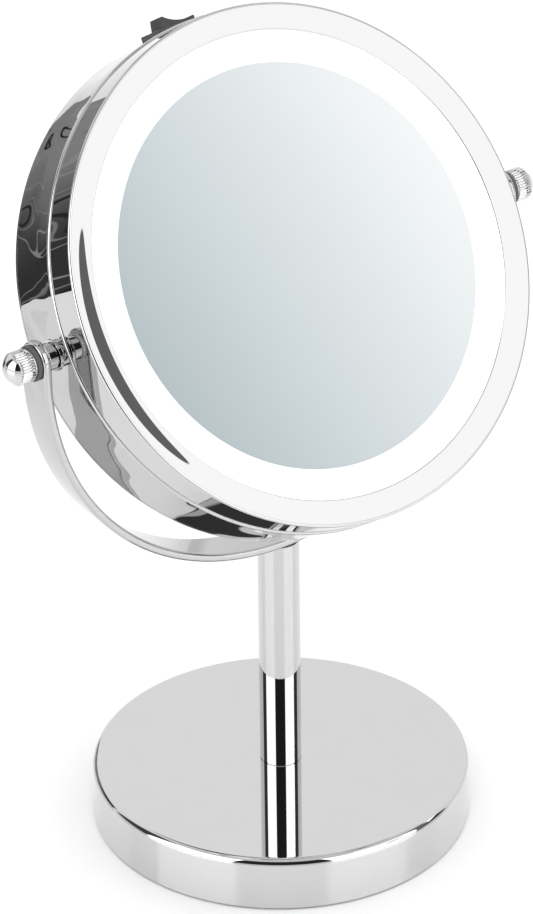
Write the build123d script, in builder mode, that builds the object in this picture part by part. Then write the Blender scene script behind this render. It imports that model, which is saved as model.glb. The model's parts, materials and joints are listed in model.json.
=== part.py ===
"""Lighted vanity mirror: a two-sided, battery-lit round mirror tilting in a yoke on a weighted base.

Millimetres, +Z up, the mirror faces -Y, the origin is the middle of the base's underside.
"""

from build123d import *
import os
from math import cos, radians, sin, sqrt, tan

os.makedirs("parts", exist_ok=True)

# ------------------------------------------------------------------ driving dimensions
FIT = 0.05                 # gap between pieces that turn or slide on each other
OVERRUN = 1.0              # how far a cutting shape passes what it cuts
SOFT_EDGE_R = 0.5

# base
BASE_R = 63.5
BASE_H = 19.5
BASE_EDGE_R = 2.5          # rounding of the top edge
SHEET = 1.2                # chromed steel sheet of the base shell
RIM_GAP = 0.6              # the shell's rim stays this far off the table
PAD_T = 2.0
PAD_R = BASE_R - SHEET - 0.4
WEIGHT_R = BASE_R - SHEET - 0.3
WEIGHT_TOP = 11.0
HUB_R = 16.0
COUNTERBORE_R = 8.0
COUNTERBORE_TOP = 8.0
WASHER_R = 7.0
BOLT_CLEARANCE = 0.2
BOLT_CHAMFER = 0.5

# stem
STEM_R = 7.0
STEM_WALL = 1.0
PLUG_LENGTH = 20.0
BOLT_R = 3.0
BOLT_HEAD_ACROSS = 10.0
BOLT_HEAD_H = 4.0
BOLT_LENGTH = 30.0
WASHER_T = 1.2
SCREW_R = 2.5
SCREW_HEAD_R = 4.5
SCREW_HEAD_H = 2.2
SCREW_HEAD_EDGE_R = 0.8
RECESS_L = 5.2             # cross recess in the screw's head
RECESS_W = 1.0
RECESS_CORNER_R = 0.45
RECESS_DEPTH = 1.2
SCREW_LENGTH = 16.0

# yoke and pivot
PIVOT_Z = 204.0
YOKE_R = 94.8              # outer radius, and half the width over the arms
YOKE_DROP = 4.15           # the half ring's centre lies this far below the pivot
YOKE_T = 2.9
YOKE_W = 13.4
YOKE_EDGE_R = 1.0
STUD_R = 2.5
BUSH_R = 4.0
BUSH_FLANGE_R = 4.9
BUSH_FLANGE_T = 0.8
SPACER_R = 4.5
SPACER_RIDGE_R = 5.2
SPACER_GROOVE_R = 3.8
SPACER_STEPS = (1.6, 2.2, 3.2, 3.8)   # ring edges, outward from the housing's wall
PLATE_L = 18.0
NUT_ACROSS = 8.0

# knobs
KNOB_R = 5.5
KNOB_WASHER_R = 5.9
KNOB_WASHER_T = 1.5
KNOB_WASHER_EDGE_R = 0.4
SHOULDER_H = 0.7           # plain collar between the washer and the knurls
SHOULDER_DEPTH = 0.4
KNOB_END = 102.4           # where the knurled drum ends, from the middle plane
DOME_R = 5.5
DOME_BASE_R = 4.9
KNURLS = 36
KNURL_R = 0.26

# head, measured along its own axis from the pivot, forward positive
HEAD_TILT = 33.5           # degrees that the mirror looks upward
HEAD_R = 84.4
HEAD_WALL = 1.9
FACE_Z = 19.3              # outer edge of the bezel's face, before rounding
LIP_Z = 17.8               # the face slopes back to the lip round the light
SEAM_Z = 4.2               # front end of the rear housing
REAR_Z = -18.7             # back face
REAR_RING_Z = -17.0        # where the rear ring meets the housing
LEDGE_R = 78.0
LEDGE_T = 1.6
NOTCH_W = 26.0

# front ring
BEZEL_R = 84.9
BEZEL_INNER_R = 75.8
LIP_WALL = 1.5
BEZEL_WALL = 1.8
BEZEL_SKIN = 1.6
LIP_SKIN = 1.4
BEZEL_EDGE_R = 0.8
BEAD_R = 0.95
SEAM_GAP = 0.6
POST_CIRCLE_R = 80.7
POST_R = 1.8
POST_HOLE_DEPTH = 6.0
POST_SCREW_REACH = 5.0
BEZEL_SCREWS = 8
SMALL_SCREW_R = 0.95
SMALL_CLEARANCE = 0.15
SMALL_HEAD_R = 1.7
SMALL_HEAD_H = 1.2

# chassis, mirror and light
CHASSIS_R = 82.9
CHASSIS_T = 1.8
SEAT_R = 65.0              # ring wall that carries the front mirror
SEAT_WALL = 2.5
SEAT_Z = 13.4
HUB_RING_R = 32.0
RIB_T = 1.6
RIBS = 6
GLASS_R = 66.2
GLASS_FRONT_Z = 15.9
GLASS_T = 2.0
GLASS_CHAMFER = 0.3
BOARD_INNER_R = 65.3
BOARD_R = 78.8
BOARD_T = 1.2
LEDS = 30
LED_CIRCLE_R = 71.8
LED_L = 3.5
LED_W = 2.8
LED_H = 1.4
RESISTORS = 6
RESISTOR_CIRCLE_R = 75.6
RESISTOR_L = 2.0
RESISTOR_W = 1.2
RESISTOR_H = 0.6
DIFFUSER_INNER_R = 66.3
DIFFUSER_R = 78.6
DIFFUSER_T = 2.2
SKIRT_T = 1.2

# battery tray, four AAA cells side by side
CELLS = 4
CELL_R = 5.2
CELL_PITCH = 11.0
CELL_BODY = 43.5
NUB_R = 1.9
NUB_H = 1.0
CELL_Z = -2.2
SPRING_H = 5.0
SPRING_R = 3.3
SPRING_WIRE_R = 0.3
SPRING_TURNS = 4
CONTACT_T = 0.4
CONTACT_L = 9.0
CONTACT_W = 7.6
LUG_L = 4.0
LUG_W = 3.0
LUG_T = 0.5
SLOT_W = 3.4
SLOT_H = 1.0
SLOT_Z = -1.0
TRAY_WALL = 1.3
TRAY_FLOOR = 1.1
TRAY_RIM_Z = -6.0
TRAY_EAR_X = 31.0
TRAY_EAR_Y = 15.0
TRAY_EAR_W = 7.0
BOSS_R = 2.6
BOSS_TOP = 10.0
BOSS_HOLE_DEPTH = 4.8
TRAY_SCREW_REACH = 3.8

# switch on top of the housing
SWITCH_Z = -7.3
SWITCH_FLANGE_L = 19.0
SWITCH_FLANGE_W = 12.5
SWITCH_FLANGE_H = 1.5
SWITCH_CORNER_R = 1.2
SWITCH_BODY_L = 15.6
SWITCH_BODY_W = 9.0
SWITCH_BODY_H = 9.9
SWITCH_CAVITY_L = 14.0
SWITCH_CAVITY_H = 6.9
ROCKER_L = 12.6
ROCKER_W = 7.0
ROCKER_HIGH = 4.3          # rocker ends above its own axis
ROCKER_LOW = 2.7           # middle of the dished top above the axis
ROCKER_LIFT = 0.2          # rocker axis above the housing's surface
ROCKER_TILT = 13.0         # degrees either side of level
ROCKER_PIN_R = 1.0
ROCKER_PIN_L = 8.4
TERMINAL_X = 3.5
TERMINAL_L = 4.0
TERMINAL_W = 2.8
TERMINAL_T = 0.6

# rear ring with its magnifying mirror
REAR_INNER_R = 76.5
REAR_EDGE_R = 1.2
REAR_GLASS_R = 80.5
REAR_CURVE_R = 1000.0      # radius of the concave glass
REAR_GLASS_T = 2.0
CARRIER_T = 1.4
COVER_SKIRT_R = 82.4
COVER_SKIRT_INNER_R = 80.8
COVER_SKIRT_Z = -12.3
PRY_W = 14.0
PRY_DEPTH = 1.6
PRY_H = 0.9

WIRE_R = 0.65
WIRE_HOLE = (-12.0, 71.9)
WIRE_HOLE_R = 2.5

# ------------------------------------------------------------------ values worked out from these
YOKE_Z = PIVOT_Z - YOKE_DROP
YOKE_INNER_R = YOKE_R - YOKE_T
STEM_TOP = YOKE_Z - YOKE_R
STEM_BORE = STEM_R - STEM_WALL
HOUSING_BORE = HEAD_R - HEAD_WALL
CHASSIS_Z = SEAM_Z + CHASSIS_T
BOARD_Z = CHASSIS_Z + BOARD_T
BEZEL_BACK_Z = SEAM_Z + SEAM_GAP
GLASS_BACK_Z = GLASS_FRONT_Z - GLASS_T
DIFFUSER_BACK_Z = GLASS_FRONT_Z - DIFFUSER_T
KNOB_WASHER_X = YOKE_R + FIT
KNOB_X = KNOB_WASHER_X + KNOB_WASHER_T
SPACER_END = YOKE_INNER_R - BUSH_FLANGE_T - FIT
PLATE_T = 1.5
PLATE_R = HOUSING_BORE - PLATE_T
NUT_H = 3.0
NUT_X = PLATE_R - 4 * FIT - NUT_H
STUD_INNER_X = NUT_X - 0.8
STUD_END_X = KNOB_END - 8 * FIT
CELL_LENGTH = CELL_BODY + NUB_H
TRAY_INSIDE_L = CELL_LENGTH + SPRING_H + 2 * CONTACT_T
TRAY_INSIDE_W = CELLS * CELL_PITCH + 0.4
TRAY_L = TRAY_INSIDE_L + 2 * TRAY_WALL
TRAY_W = TRAY_INSIDE_W + 2 * TRAY_WALL
TRAY_FLOOR_Z = SEAM_Z - TRAY_FLOOR
EAR_Z = SEAM_Z - LEDGE_T
ROCKER_AXIS_R = HEAD_R + ROCKER_LIFT
TERMINAL_R = HEAD_R - SWITCH_BODY_H
TERMINAL_END_R = TERMINAL_R - TERMINAL_L

# ------------------------------------------------------------------ planes and axes
FORWARD = (0, -cos(radians(HEAD_TILT)), sin(radians(HEAD_TILT)))
PIVOT = (0, 0, PIVOT_Z)
HEAD = Plane(origin=PIVOT, x_dir=(1, 0, 0), z_dir=FORWARD)
HEAD_SECTION = Plane(origin=PIVOT, x_dir=(1, 0, 0), z_dir=-HEAD.y_dir)
HEAD_AXIS = Axis(PIVOT, FORWARD)
PIVOT_SECTION = Plane(origin=PIVOT, x_dir=(1, 0, 0), z_dir=(0, -1, 0))
PIVOT_AXIS = Axis(PIVOT, (1, 0, 0))
SIDES = (-1, 1)


def head_point(x, up, forward):
    """Point of the head, in the part's own frame."""
    return HEAD.from_local_coords((x, up, forward))


def arm_plane(side, x):
    """Plane across the pivot axis at a distance x from the middle, facing outward."""
    return Plane(origin=(side * x, 0, PIVOT_Z), x_dir=(0, 1, 0), z_dir=(side, 0, 0))


def rear_glass_z(radius):
    """Height of the concave outer surface of the rear glass at a radius."""
    edge_drop = sqrt(REAR_CURVE_R**2 - REAR_GLASS_R**2)
    return REAR_RING_Z + sqrt(REAR_CURVE_R**2 - radius**2) - edge_drop


def dished_profile(low, high, radius):
    """Half section of a dished plate between two offsets from the rear glass surface."""
    middle = radius / 2
    with BuildLine() as outline:
        ThreePointArc(
            (0, rear_glass_z(0) + low),
            (middle, rear_glass_z(middle) + low),
            (radius, rear_glass_z(radius) + low),
        )
        Line((radius, rear_glass_z(radius) + low), (radius, rear_glass_z(radius) + high))
        ThreePointArc(
            (radius, rear_glass_z(radius) + high),
            (middle, rear_glass_z(middle) + high),
            (0, rear_glass_z(0) + high),
        )
        Line((0, rear_glass_z(0) + high), (0, rear_glass_z(0) + low))
    return outline


def bend_radii(points):
    """Largest even arcs that a wire's straight runs allow at each corner."""
    corners = [Vector(*point) for point in points]
    radii = []
    for before, here, after in zip(corners, corners[1:], corners[2:]):
        run_in = here - before
        run_out = after - here
        shorter = min(run_in.length, run_out.length)
        radii.append(0.45 * shorter / tan(radians(run_in.get_angle(run_out)) / 2))
    return radii


# ================================================================== stand

# base shell: a pressed steel cup, open below
with BuildPart() as base_shell:
    with BuildSketch(Plane.XY.offset(RIM_GAP)):
        Circle(BASE_R)
    extrude(amount=BASE_H - RIM_GAP)
    fillet(base_shell.faces().sort_by(Axis.Z)[-1].edges(), BASE_EDGE_R)
    offset(amount=-SHEET, openings=base_shell.faces().sort_by(Axis.Z)[0])
    with BuildSketch(Plane.XY.offset(BASE_H)):
        Circle(BOLT_R + BOLT_CLEARANCE)
    extrude(amount=-2 * SHEET, mode=Mode.SUBTRACT)
base_shell.part.label = "base_shell"
export_step(base_shell.part, "parts/base_shell.step")

# base weight: cast iron disc with a hub up to the shell
with BuildPart() as base_weight:
    with BuildSketch(Plane.XY.offset(PAD_T)):
        Circle(WEIGHT_R)
    extrude(amount=WEIGHT_TOP - PAD_T)
    with BuildSketch(Plane.XY.offset(WEIGHT_TOP)):
        Circle(HUB_R)
    extrude(amount=BASE_H - SHEET - WEIGHT_TOP)
    with BuildSketch(Plane.XY.offset(PAD_T)):
        Circle(COUNTERBORE_R)
    extrude(amount=COUNTERBORE_TOP - PAD_T, mode=Mode.SUBTRACT)
    with BuildSketch(Plane.XY):
        Circle(BOLT_R + BOLT_CLEARANCE)
    extrude(amount=BASE_H, mode=Mode.SUBTRACT)
base_weight.part.label = "base_weight"
export_step(base_weight.part, "parts/base_weight.step")

# base pad: foam disc that the mirror stands on
with BuildPart() as base_pad:
    with BuildSketch(Plane.XY):
        Circle(PAD_R)
    extrude(amount=PAD_T)
base_pad.part.label = "base_pad"
export_step(base_pad.part, "parts/base_pad.step")

# base washer and bolt, from below into the stem
with BuildPart() as base_washer:
    with BuildSketch(Plane.XY.offset(COUNTERBORE_TOP - WASHER_T)):
        Circle(WASHER_R)
        Circle(BOLT_R + BOLT_CLEARANCE, mode=Mode.SUBTRACT)
    extrude(amount=WASHER_T)
base_washer.part.label = "base_washer"
export_step(base_washer.part, "parts/base_washer.step")

BOLT_SEAT_Z = COUNTERBORE_TOP - WASHER_T
with BuildPart() as base_bolt:
    with BuildSketch(Plane.XY.offset(BOLT_SEAT_Z - BOLT_HEAD_H)):
        RegularPolygon(BOLT_HEAD_ACROSS / 2, 6, major_radius=False)
    extrude(amount=BOLT_HEAD_H)
    chamfer(base_bolt.faces().sort_by(Axis.Z)[0].edges(), BOLT_CHAMFER)
    with BuildSketch(Plane.XY.offset(BOLT_SEAT_Z)):
        Circle(BOLT_R)
    extrude(amount=BOLT_LENGTH)
base_bolt.part.label = "base_bolt"
export_step(base_bolt.part, "parts/base_bolt.step")

# stem tube: its top is saddled to the round underside of the yoke
with BuildPart() as stem_tube:
    with BuildSketch(Plane.XY.offset(BASE_H)):
        Circle(STEM_R)
        Circle(STEM_BORE, mode=Mode.SUBTRACT)
    extrude(amount=STEM_TOP - BASE_H + OVERRUN)
    with BuildSketch(Plane.XZ):
        with Locations((0, YOKE_Z)):
            Circle(YOKE_R)
    extrude(amount=BASE_R, both=True, mode=Mode.SUBTRACT)
stem_tube.part.label = "stem_tube"
export_step(stem_tube.part, "parts/stem_tube.step")

# threaded plugs pressed into both ends of the stem
with BuildPart() as stem_bottom_plug:
    with BuildSketch(Plane.XY.offset(BASE_H)):
        Circle(STEM_BORE)
        Circle(BOLT_R, mode=Mode.SUBTRACT)
    extrude(amount=PLUG_LENGTH)
stem_bottom_plug.part.label = "stem_bottom_plug"
export_step(stem_bottom_plug.part, "parts/stem_bottom_plug.step")

with BuildPart() as stem_top_plug:
    with BuildSketch(Plane.XY.offset(STEM_TOP - PLUG_LENGTH)):
        Circle(STEM_BORE)
        Circle(SCREW_R, mode=Mode.SUBTRACT)
    extrude(amount=PLUG_LENGTH + OVERRUN)
    with BuildSketch(Plane.XZ):
        with Locations((0, YOKE_Z)):
            Circle(YOKE_R)
    extrude(amount=BASE_R, both=True, mode=Mode.SUBTRACT)
stem_top_plug.part.label = "stem_top_plug"
export_step(stem_top_plug.part, "parts/stem_top_plug.step")

# yoke: half ring of flat bar with rounded edges and round arm ends
with BuildPart() as yoke:
    with BuildSketch(Plane.XZ):
        with Locations((0, YOKE_Z)):
            Circle(YOKE_R)
        with Locations((0, YOKE_Z)):
            Rectangle(2 * YOKE_R, 2 * YOKE_R, align=(Align.CENTER, Align.MIN), mode=Mode.SUBTRACT)
        with Locations((0, YOKE_Z)):
            Rectangle(2 * YOKE_R, YOKE_DROP + YOKE_W, align=(Align.CENTER, Align.MIN))
        with Locations((0, YOKE_Z)):
            Circle(YOKE_INNER_R, mode=Mode.SUBTRACT)
            Rectangle(
                2 * YOKE_INNER_R, 2 * YOKE_W, align=(Align.CENTER, Align.MIN), mode=Mode.SUBTRACT
            )
    extrude(amount=YOKE_W / 2, both=True)
    long_edges = yoke.faces().sort_by(Axis.Y)[0].edges() + yoke.faces().sort_by(Axis.Y)[-1].edges()
    fillet(long_edges, YOKE_EDGE_R)
    with BuildSketch(Plane.YZ):
        with Locations((0, PIVOT_Z)):
            Circle(YOKE_W / 2)
            Rectangle(YOKE_W, PIVOT_Z, align=(Align.CENTER, Align.MAX))
    extrude(amount=YOKE_R + OVERRUN, both=True, mode=Mode.INTERSECT)
    with BuildSketch(Plane.YZ):
        with Locations((0, PIVOT_Z)):
            Circle(BUSH_R)
    extrude(amount=YOKE_R + OVERRUN, both=True, mode=Mode.SUBTRACT)
    with BuildSketch(Plane.XY.offset(STEM_TOP - OVERRUN)):
        Circle(SCREW_R)
    extrude(amount=2 * YOKE_T, mode=Mode.SUBTRACT)
yoke.part.label = "yoke"
export_step(yoke.part, "parts/yoke.step")

# yoke screw: its head's underside follows the yoke's inner curve
YOKE_FLOOR_Z = STEM_TOP + YOKE_T
with BuildPart() as yoke_screw:
    with BuildSketch(Plane.XY.offset(YOKE_FLOOR_Z)):
        Circle(SCREW_HEAD_R)
    extrude(amount=SCREW_HEAD_H)
    fillet(yoke_screw.faces().sort_by(Axis.Z)[-1].edges(), SCREW_HEAD_EDGE_R)
    with BuildSketch(Plane.XZ):
        with Locations((0, YOKE_Z)):
            Circle(YOKE_INNER_R)
    extrude(amount=BASE_R, both=True, mode=Mode.INTERSECT)
    with BuildSketch(Plane.XY.offset(YOKE_FLOOR_Z + SCREW_HEAD_H)):
        RectangleRounded(RECESS_L, RECESS_W, RECESS_CORNER_R)
        RectangleRounded(RECESS_W, RECESS_L, RECESS_CORNER_R)
    extrude(amount=-RECESS_DEPTH, mode=Mode.SUBTRACT)
    with BuildSketch(Plane.XY.offset(YOKE_FLOOR_Z + SCREW_HEAD_H - RECESS_DEPTH)):
        Circle(SCREW_R)
    extrude(amount=-SCREW_LENGTH)
yoke_screw.part.label = "yoke_screw"
export_step(yoke_screw.part, "parts/yoke_screw.step")

# flanged nylon bushes in the yoke's eyes
with BuildPart() as yoke_bushes:
    for side in SIDES:
        with BuildSketch(arm_plane(side, YOKE_INNER_R - BUSH_FLANGE_T)):
            Circle(BUSH_FLANGE_R)
        extrude(amount=BUSH_FLANGE_T)
        with BuildSketch(arm_plane(side, YOKE_INNER_R)):
            Circle(BUSH_R)
        extrude(amount=YOKE_T)
        with BuildSketch(arm_plane(side, YOKE_INNER_R - 2 * OVERRUN)):
            Circle(STUD_R + FIT)
        extrude(amount=YOKE_T + 4 * OVERRUN, mode=Mode.SUBTRACT)
yoke_bushes.part.label = "yoke_bushes"
export_step(yoke_bushes.part, "parts/yoke_bushes.step")

# ================================================================== head: housing and front ring

# rear housing: a round wall with an inner ledge, cut for the studs and the switch
with BuildPart() as housing:
    with BuildSketch(HEAD.offset(EAR_Z)):
        Circle(HOUSING_BORE)
        Circle(LEDGE_R, mode=Mode.SUBTRACT)
        with Locations((-LEDGE_R, 0), (LEDGE_R, 0)):
            Rectangle(2 * (HEAD_R - LEDGE_R), NOTCH_W, mode=Mode.SUBTRACT)
        with PolarLocations(POST_CIRCLE_R, BEZEL_SCREWS, 180 / BEZEL_SCREWS):
            Circle(SMALL_SCREW_R + SMALL_CLEARANCE, mode=Mode.SUBTRACT)
    extrude(amount=LEDGE_T)
    with BuildSketch(HEAD.offset(REAR_RING_Z + FIT)):
        Circle(HEAD_R)
        Circle(HOUSING_BORE, mode=Mode.SUBTRACT)
    extrude(amount=SEAM_Z - REAR_RING_Z - FIT)
    front_rim = housing.edges().filter_by(GeomType.CIRCLE).group_by(SortBy.RADIUS)[-1]
    fillet(front_rim, SOFT_EDGE_R)
    with BuildSketch(Plane.YZ):
        with Locations((0, PIVOT_Z)):
            Circle(STUD_R)
    extrude(amount=2 * HEAD_R, both=True, mode=Mode.SUBTRACT)
    with BuildSketch(Plane(origin=head_point(0, HEAD_R, SWITCH_Z), x_dir=(1, 0, 0), z_dir=HEAD.y_dir)):
        Rectangle(SWITCH_BODY_L + 0.2, SWITCH_BODY_W + 0.2)
    extrude(amount=4 * HEAD_WALL, both=True, mode=Mode.SUBTRACT)
housing.part.label = "housing"
export_step(housing.part, "parts/housing.step")

# front ring: rolled bead at the seam, face sloping back to a lip, wall down to the light, posts
with BuildPart() as front_bezel:
    with BuildSketch(HEAD_SECTION):
        with BuildLine():
            Polyline(
                (BEZEL_R - BEZEL_WALL, BEZEL_BACK_Z),
                (BEZEL_R, BEZEL_BACK_Z),
                (BEZEL_R, FACE_Z),
                (BEZEL_INNER_R, LIP_Z),
                (BEZEL_INNER_R, GLASS_FRONT_Z),
                (BEZEL_INNER_R + LIP_WALL, GLASS_FRONT_Z),
                (BEZEL_INNER_R + LIP_WALL, LIP_Z - LIP_SKIN),
                (BEZEL_R - BEZEL_WALL, FACE_Z - BEZEL_SKIN),
                close=True,
            )
        make_face()
        with Locations((BEZEL_R - 0.4, BEZEL_BACK_Z + BEAD_R)):
            Circle(BEAD_R)
    revolve(axis=HEAD_AXIS)
    rim = front_bezel.edges().filter_by_position(HEAD_AXIS, FACE_Z - FIT, FACE_Z + FIT)
    fillet(rim, BEZEL_EDGE_R)
    lip = front_bezel.edges().filter_by_position(HEAD_AXIS, LIP_Z - FIT, LIP_Z + FIT)
    fillet(lip.sort_by(SortBy.RADIUS)[0], SOFT_EDGE_R)
    with BuildSketch(HEAD.offset(CHASSIS_Z)):
        with PolarLocations(POST_CIRCLE_R, BEZEL_SCREWS, 180 / BEZEL_SCREWS):
            Circle(POST_R)
    extrude(amount=FACE_Z - BEZEL_SKIN - CHASSIS_Z)
    with BuildSketch(HEAD.offset(CHASSIS_Z)):
        with PolarLocations(POST_CIRCLE_R, BEZEL_SCREWS, 180 / BEZEL_SCREWS):
            Circle(SMALL_SCREW_R)
    extrude(amount=POST_HOLE_DEPTH, mode=Mode.SUBTRACT)
front_bezel.part.label = "front_bezel"
export_step(front_bezel.part, "parts/front_bezel.step")

# screws through the ledge and the chassis into the posts
with BuildPart() as bezel_screws:
    with BuildSketch(HEAD.offset(EAR_Z)):
        with PolarLocations(POST_CIRCLE_R, BEZEL_SCREWS, 180 / BEZEL_SCREWS):
            Circle(SMALL_HEAD_R)
    extrude(amount=-SMALL_HEAD_H)
    with BuildSketch(HEAD.offset(EAR_Z)):
        with PolarLocations(POST_CIRCLE_R, BEZEL_SCREWS, 180 / BEZEL_SCREWS):
            Circle(SMALL_SCREW_R)
    extrude(amount=CHASSIS_Z + POST_SCREW_REACH - EAR_Z)
bezel_screws.part.label = "bezel_screws"
export_step(bezel_screws.part, "parts/bezel_screws.step")

# ================================================================== head: chassis, mirror and light

# chassis: moulded disc with a raised ring, ribs and screw bosses in front
with BuildPart() as chassis:
    with BuildSketch(HEAD.offset(SEAM_Z)):
        Circle(CHASSIS_R)
        with PolarLocations(POST_CIRCLE_R, BEZEL_SCREWS, 180 / BEZEL_SCREWS):
            Circle(SMALL_SCREW_R + SMALL_CLEARANCE, mode=Mode.SUBTRACT)
        with Locations(WIRE_HOLE):
            Circle(WIRE_HOLE_R, mode=Mode.SUBTRACT)
    extrude(amount=CHASSIS_T)
    with BuildSketch(HEAD.offset(CHASSIS_Z)):
        Circle(SEAT_R)
        Circle(SEAT_R - SEAT_WALL, mode=Mode.SUBTRACT)
        Circle(HUB_RING_R)
        Circle(HUB_RING_R - SEAT_WALL, mode=Mode.SUBTRACT)
        with PolarLocations((HUB_RING_R + SEAT_R - SEAT_WALL) / 2, RIBS, 0):
            Rectangle(SEAT_R - HUB_RING_R, RIB_T)
    extrude(amount=SEAT_Z - CHASSIS_Z)
    with BuildSketch(HEAD.offset(CHASSIS_Z)):
        with GridLocations(2 * TRAY_EAR_X, 2 * TRAY_EAR_Y, 2, 2):
            Circle(BOSS_R)
    extrude(amount=BOSS_TOP - CHASSIS_Z)
    with BuildSketch(HEAD.offset(SEAM_Z)):
        with GridLocations(2 * TRAY_EAR_X, 2 * TRAY_EAR_Y, 2, 2):
            Circle(SMALL_SCREW_R)
    extrude(amount=BOSS_HOLE_DEPTH, mode=Mode.SUBTRACT)
chassis.part.label = "chassis"
export_step(chassis.part, "parts/chassis.step")

# adhesive foam ring and the front mirror
with BuildPart() as mirror_tape:
    with BuildSketch(HEAD.offset(SEAT_Z)):
        Circle(SEAT_R)
        Circle(SEAT_R - SEAT_WALL, mode=Mode.SUBTRACT)
    extrude(amount=GLASS_BACK_Z - SEAT_Z)
mirror_tape.part.label = "mirror_tape"
export_step(mirror_tape.part, "parts/mirror_tape.step")

with BuildPart() as front_mirror:
    with BuildSketch(HEAD.offset(GLASS_BACK_Z)):
        Circle(GLASS_R)
    extrude(amount=GLASS_T)
    chamfer(front_mirror.faces().sort_by(HEAD_AXIS)[-1].edges(), GLASS_CHAMFER)
front_mirror.part.label = "front_mirror"
export_step(front_mirror.part, "parts/front_mirror.step")

# light board with its lamps and resistors
with BuildPart() as led_board:
    with BuildSketch(HEAD.offset(CHASSIS_Z)):
        Circle(BOARD_R)
        Circle(BOARD_INNER_R, mode=Mode.SUBTRACT)
    extrude(amount=BOARD_T)
led_board.part.label = "led_board"
export_step(led_board.part, "parts/led_board.step")

with BuildPart() as leds:
    with BuildSketch(HEAD.offset(BOARD_Z)):
        with PolarLocations(LED_CIRCLE_R, LEDS):
            Rectangle(LED_W, LED_L)
    extrude(amount=LED_H)
leds.part.label = "leds"
export_step(leds.part, "parts/leds.step")

with BuildPart() as led_resistors:
    with BuildSketch(HEAD.offset(BOARD_Z)):
        with PolarLocations(RESISTOR_CIRCLE_R, RESISTORS, 180 / LEDS):
            Rectangle(RESISTOR_W, RESISTOR_L)
    extrude(amount=RESISTOR_H)
led_resistors.part.label = "led_resistors"
export_step(led_resistors.part, "parts/led_resistors.step")

# light ring: frosted channel over the lamps, standing on the board
with BuildPart() as light_diffuser:
    with BuildSketch(HEAD_SECTION):
        with Locations((DIFFUSER_INNER_R, DIFFUSER_BACK_Z)):
            Rectangle(
                DIFFUSER_R - DIFFUSER_INNER_R, DIFFUSER_T, align=(Align.MIN, Align.MIN)
            )
        with Locations((DIFFUSER_INNER_R, BOARD_Z)):
            Rectangle(SKIRT_T, DIFFUSER_BACK_Z - BOARD_Z, align=(Align.MIN, Align.MIN))
        with Locations((DIFFUSER_R, BOARD_Z)):
            Rectangle(SKIRT_T, DIFFUSER_BACK_Z - BOARD_Z, align=(Align.MAX, Align.MIN))
    revolve(axis=HEAD_AXIS)
light_diffuser.part.label = "light_diffuser"
export_step(light_diffuser.part, "parts/light_diffuser.step")

# ================================================================== head: battery tray

TRAY_INSIDE_X = TRAY_INSIDE_L / 2
LUG_Y = (CELLS - 1) / 2 * CELL_PITCH

# tray: open to the rear, with ears and slots for the two lugs
with BuildPart() as battery_tray:
    with BuildSketch(HEAD.offset(TRAY_RIM_Z)):
        Rectangle(TRAY_L, TRAY_W)
    extrude(amount=SEAM_Z - TRAY_RIM_Z)
    with BuildSketch(HEAD.offset(EAR_Z)):
        with Locations((0, -TRAY_EAR_Y), (0, TRAY_EAR_Y)):
            SlotOverall(2 * TRAY_EAR_X + TRAY_EAR_W, TRAY_EAR_W)
    extrude(amount=LEDGE_T)
    with BuildSketch(HEAD.offset(TRAY_RIM_Z)):
        Rectangle(TRAY_INSIDE_L, TRAY_INSIDE_W)
    extrude(amount=TRAY_FLOOR_Z - TRAY_RIM_Z, mode=Mode.SUBTRACT)
    with BuildSketch(HEAD.offset(EAR_Z)):
        with GridLocations(2 * TRAY_EAR_X, 2 * TRAY_EAR_Y, 2, 2):
            Circle(SMALL_SCREW_R + SMALL_CLEARANCE)
    extrude(amount=LEDGE_T, mode=Mode.SUBTRACT)
    with BuildSketch(HEAD.offset(SLOT_Z - SLOT_H / 2)):
        with Locations(
            (-TRAY_INSIDE_X - TRAY_WALL / 2, -LUG_Y),
            (-TRAY_INSIDE_X - TRAY_WALL / 2, LUG_Y),
        ):
            Rectangle(TRAY_WALL, SLOT_W)
    extrude(amount=SLOT_H, mode=Mode.SUBTRACT)
battery_tray.part.label = "battery_tray"
export_step(battery_tray.part, "parts/battery_tray.step")

with BuildPart() as tray_screws:
    with BuildSketch(HEAD.offset(EAR_Z)):
        with GridLocations(2 * TRAY_EAR_X, 2 * TRAY_EAR_Y, 2, 2):
            Circle(SMALL_HEAD_R)
    extrude(amount=-SMALL_HEAD_H)
    with BuildSketch(HEAD.offset(EAR_Z)):
        with GridLocations(2 * TRAY_EAR_X, 2 * TRAY_EAR_Y, 2, 2):
            Circle(SMALL_SCREW_R)
    extrude(amount=LEDGE_T + TRAY_SCREW_REACH)
tray_screws.part.label = "tray_screws"
export_step(tray_screws.part, "parts/tray_screws.step")


def cell_plane(index, distance):
    """Plane across a cell at a distance from its minus end, and the way that the cell points."""
    way = 1 if index % 2 == 0 else -1
    minus_x = -way * (TRAY_INSIDE_X - CONTACT_T - SPRING_H)
    across = (index - (CELLS - 1) / 2) * CELL_PITCH
    origin = head_point(minus_x + way * distance, across, CELL_Z)
    return Plane(origin=origin, x_dir=HEAD.y_dir, z_dir=(way, 0, 0))


with BuildPart() as batteries:
    for index in range(CELLS):
        with BuildSketch(cell_plane(index, 0)):
            Circle(CELL_R)
        extrude(amount=CELL_BODY)
        with BuildSketch(cell_plane(index, CELL_BODY)):
            Circle(NUB_R)
        extrude(amount=NUB_H)
batteries.part.label = "batteries"
export_step(batteries.part, "parts/batteries.step")

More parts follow.
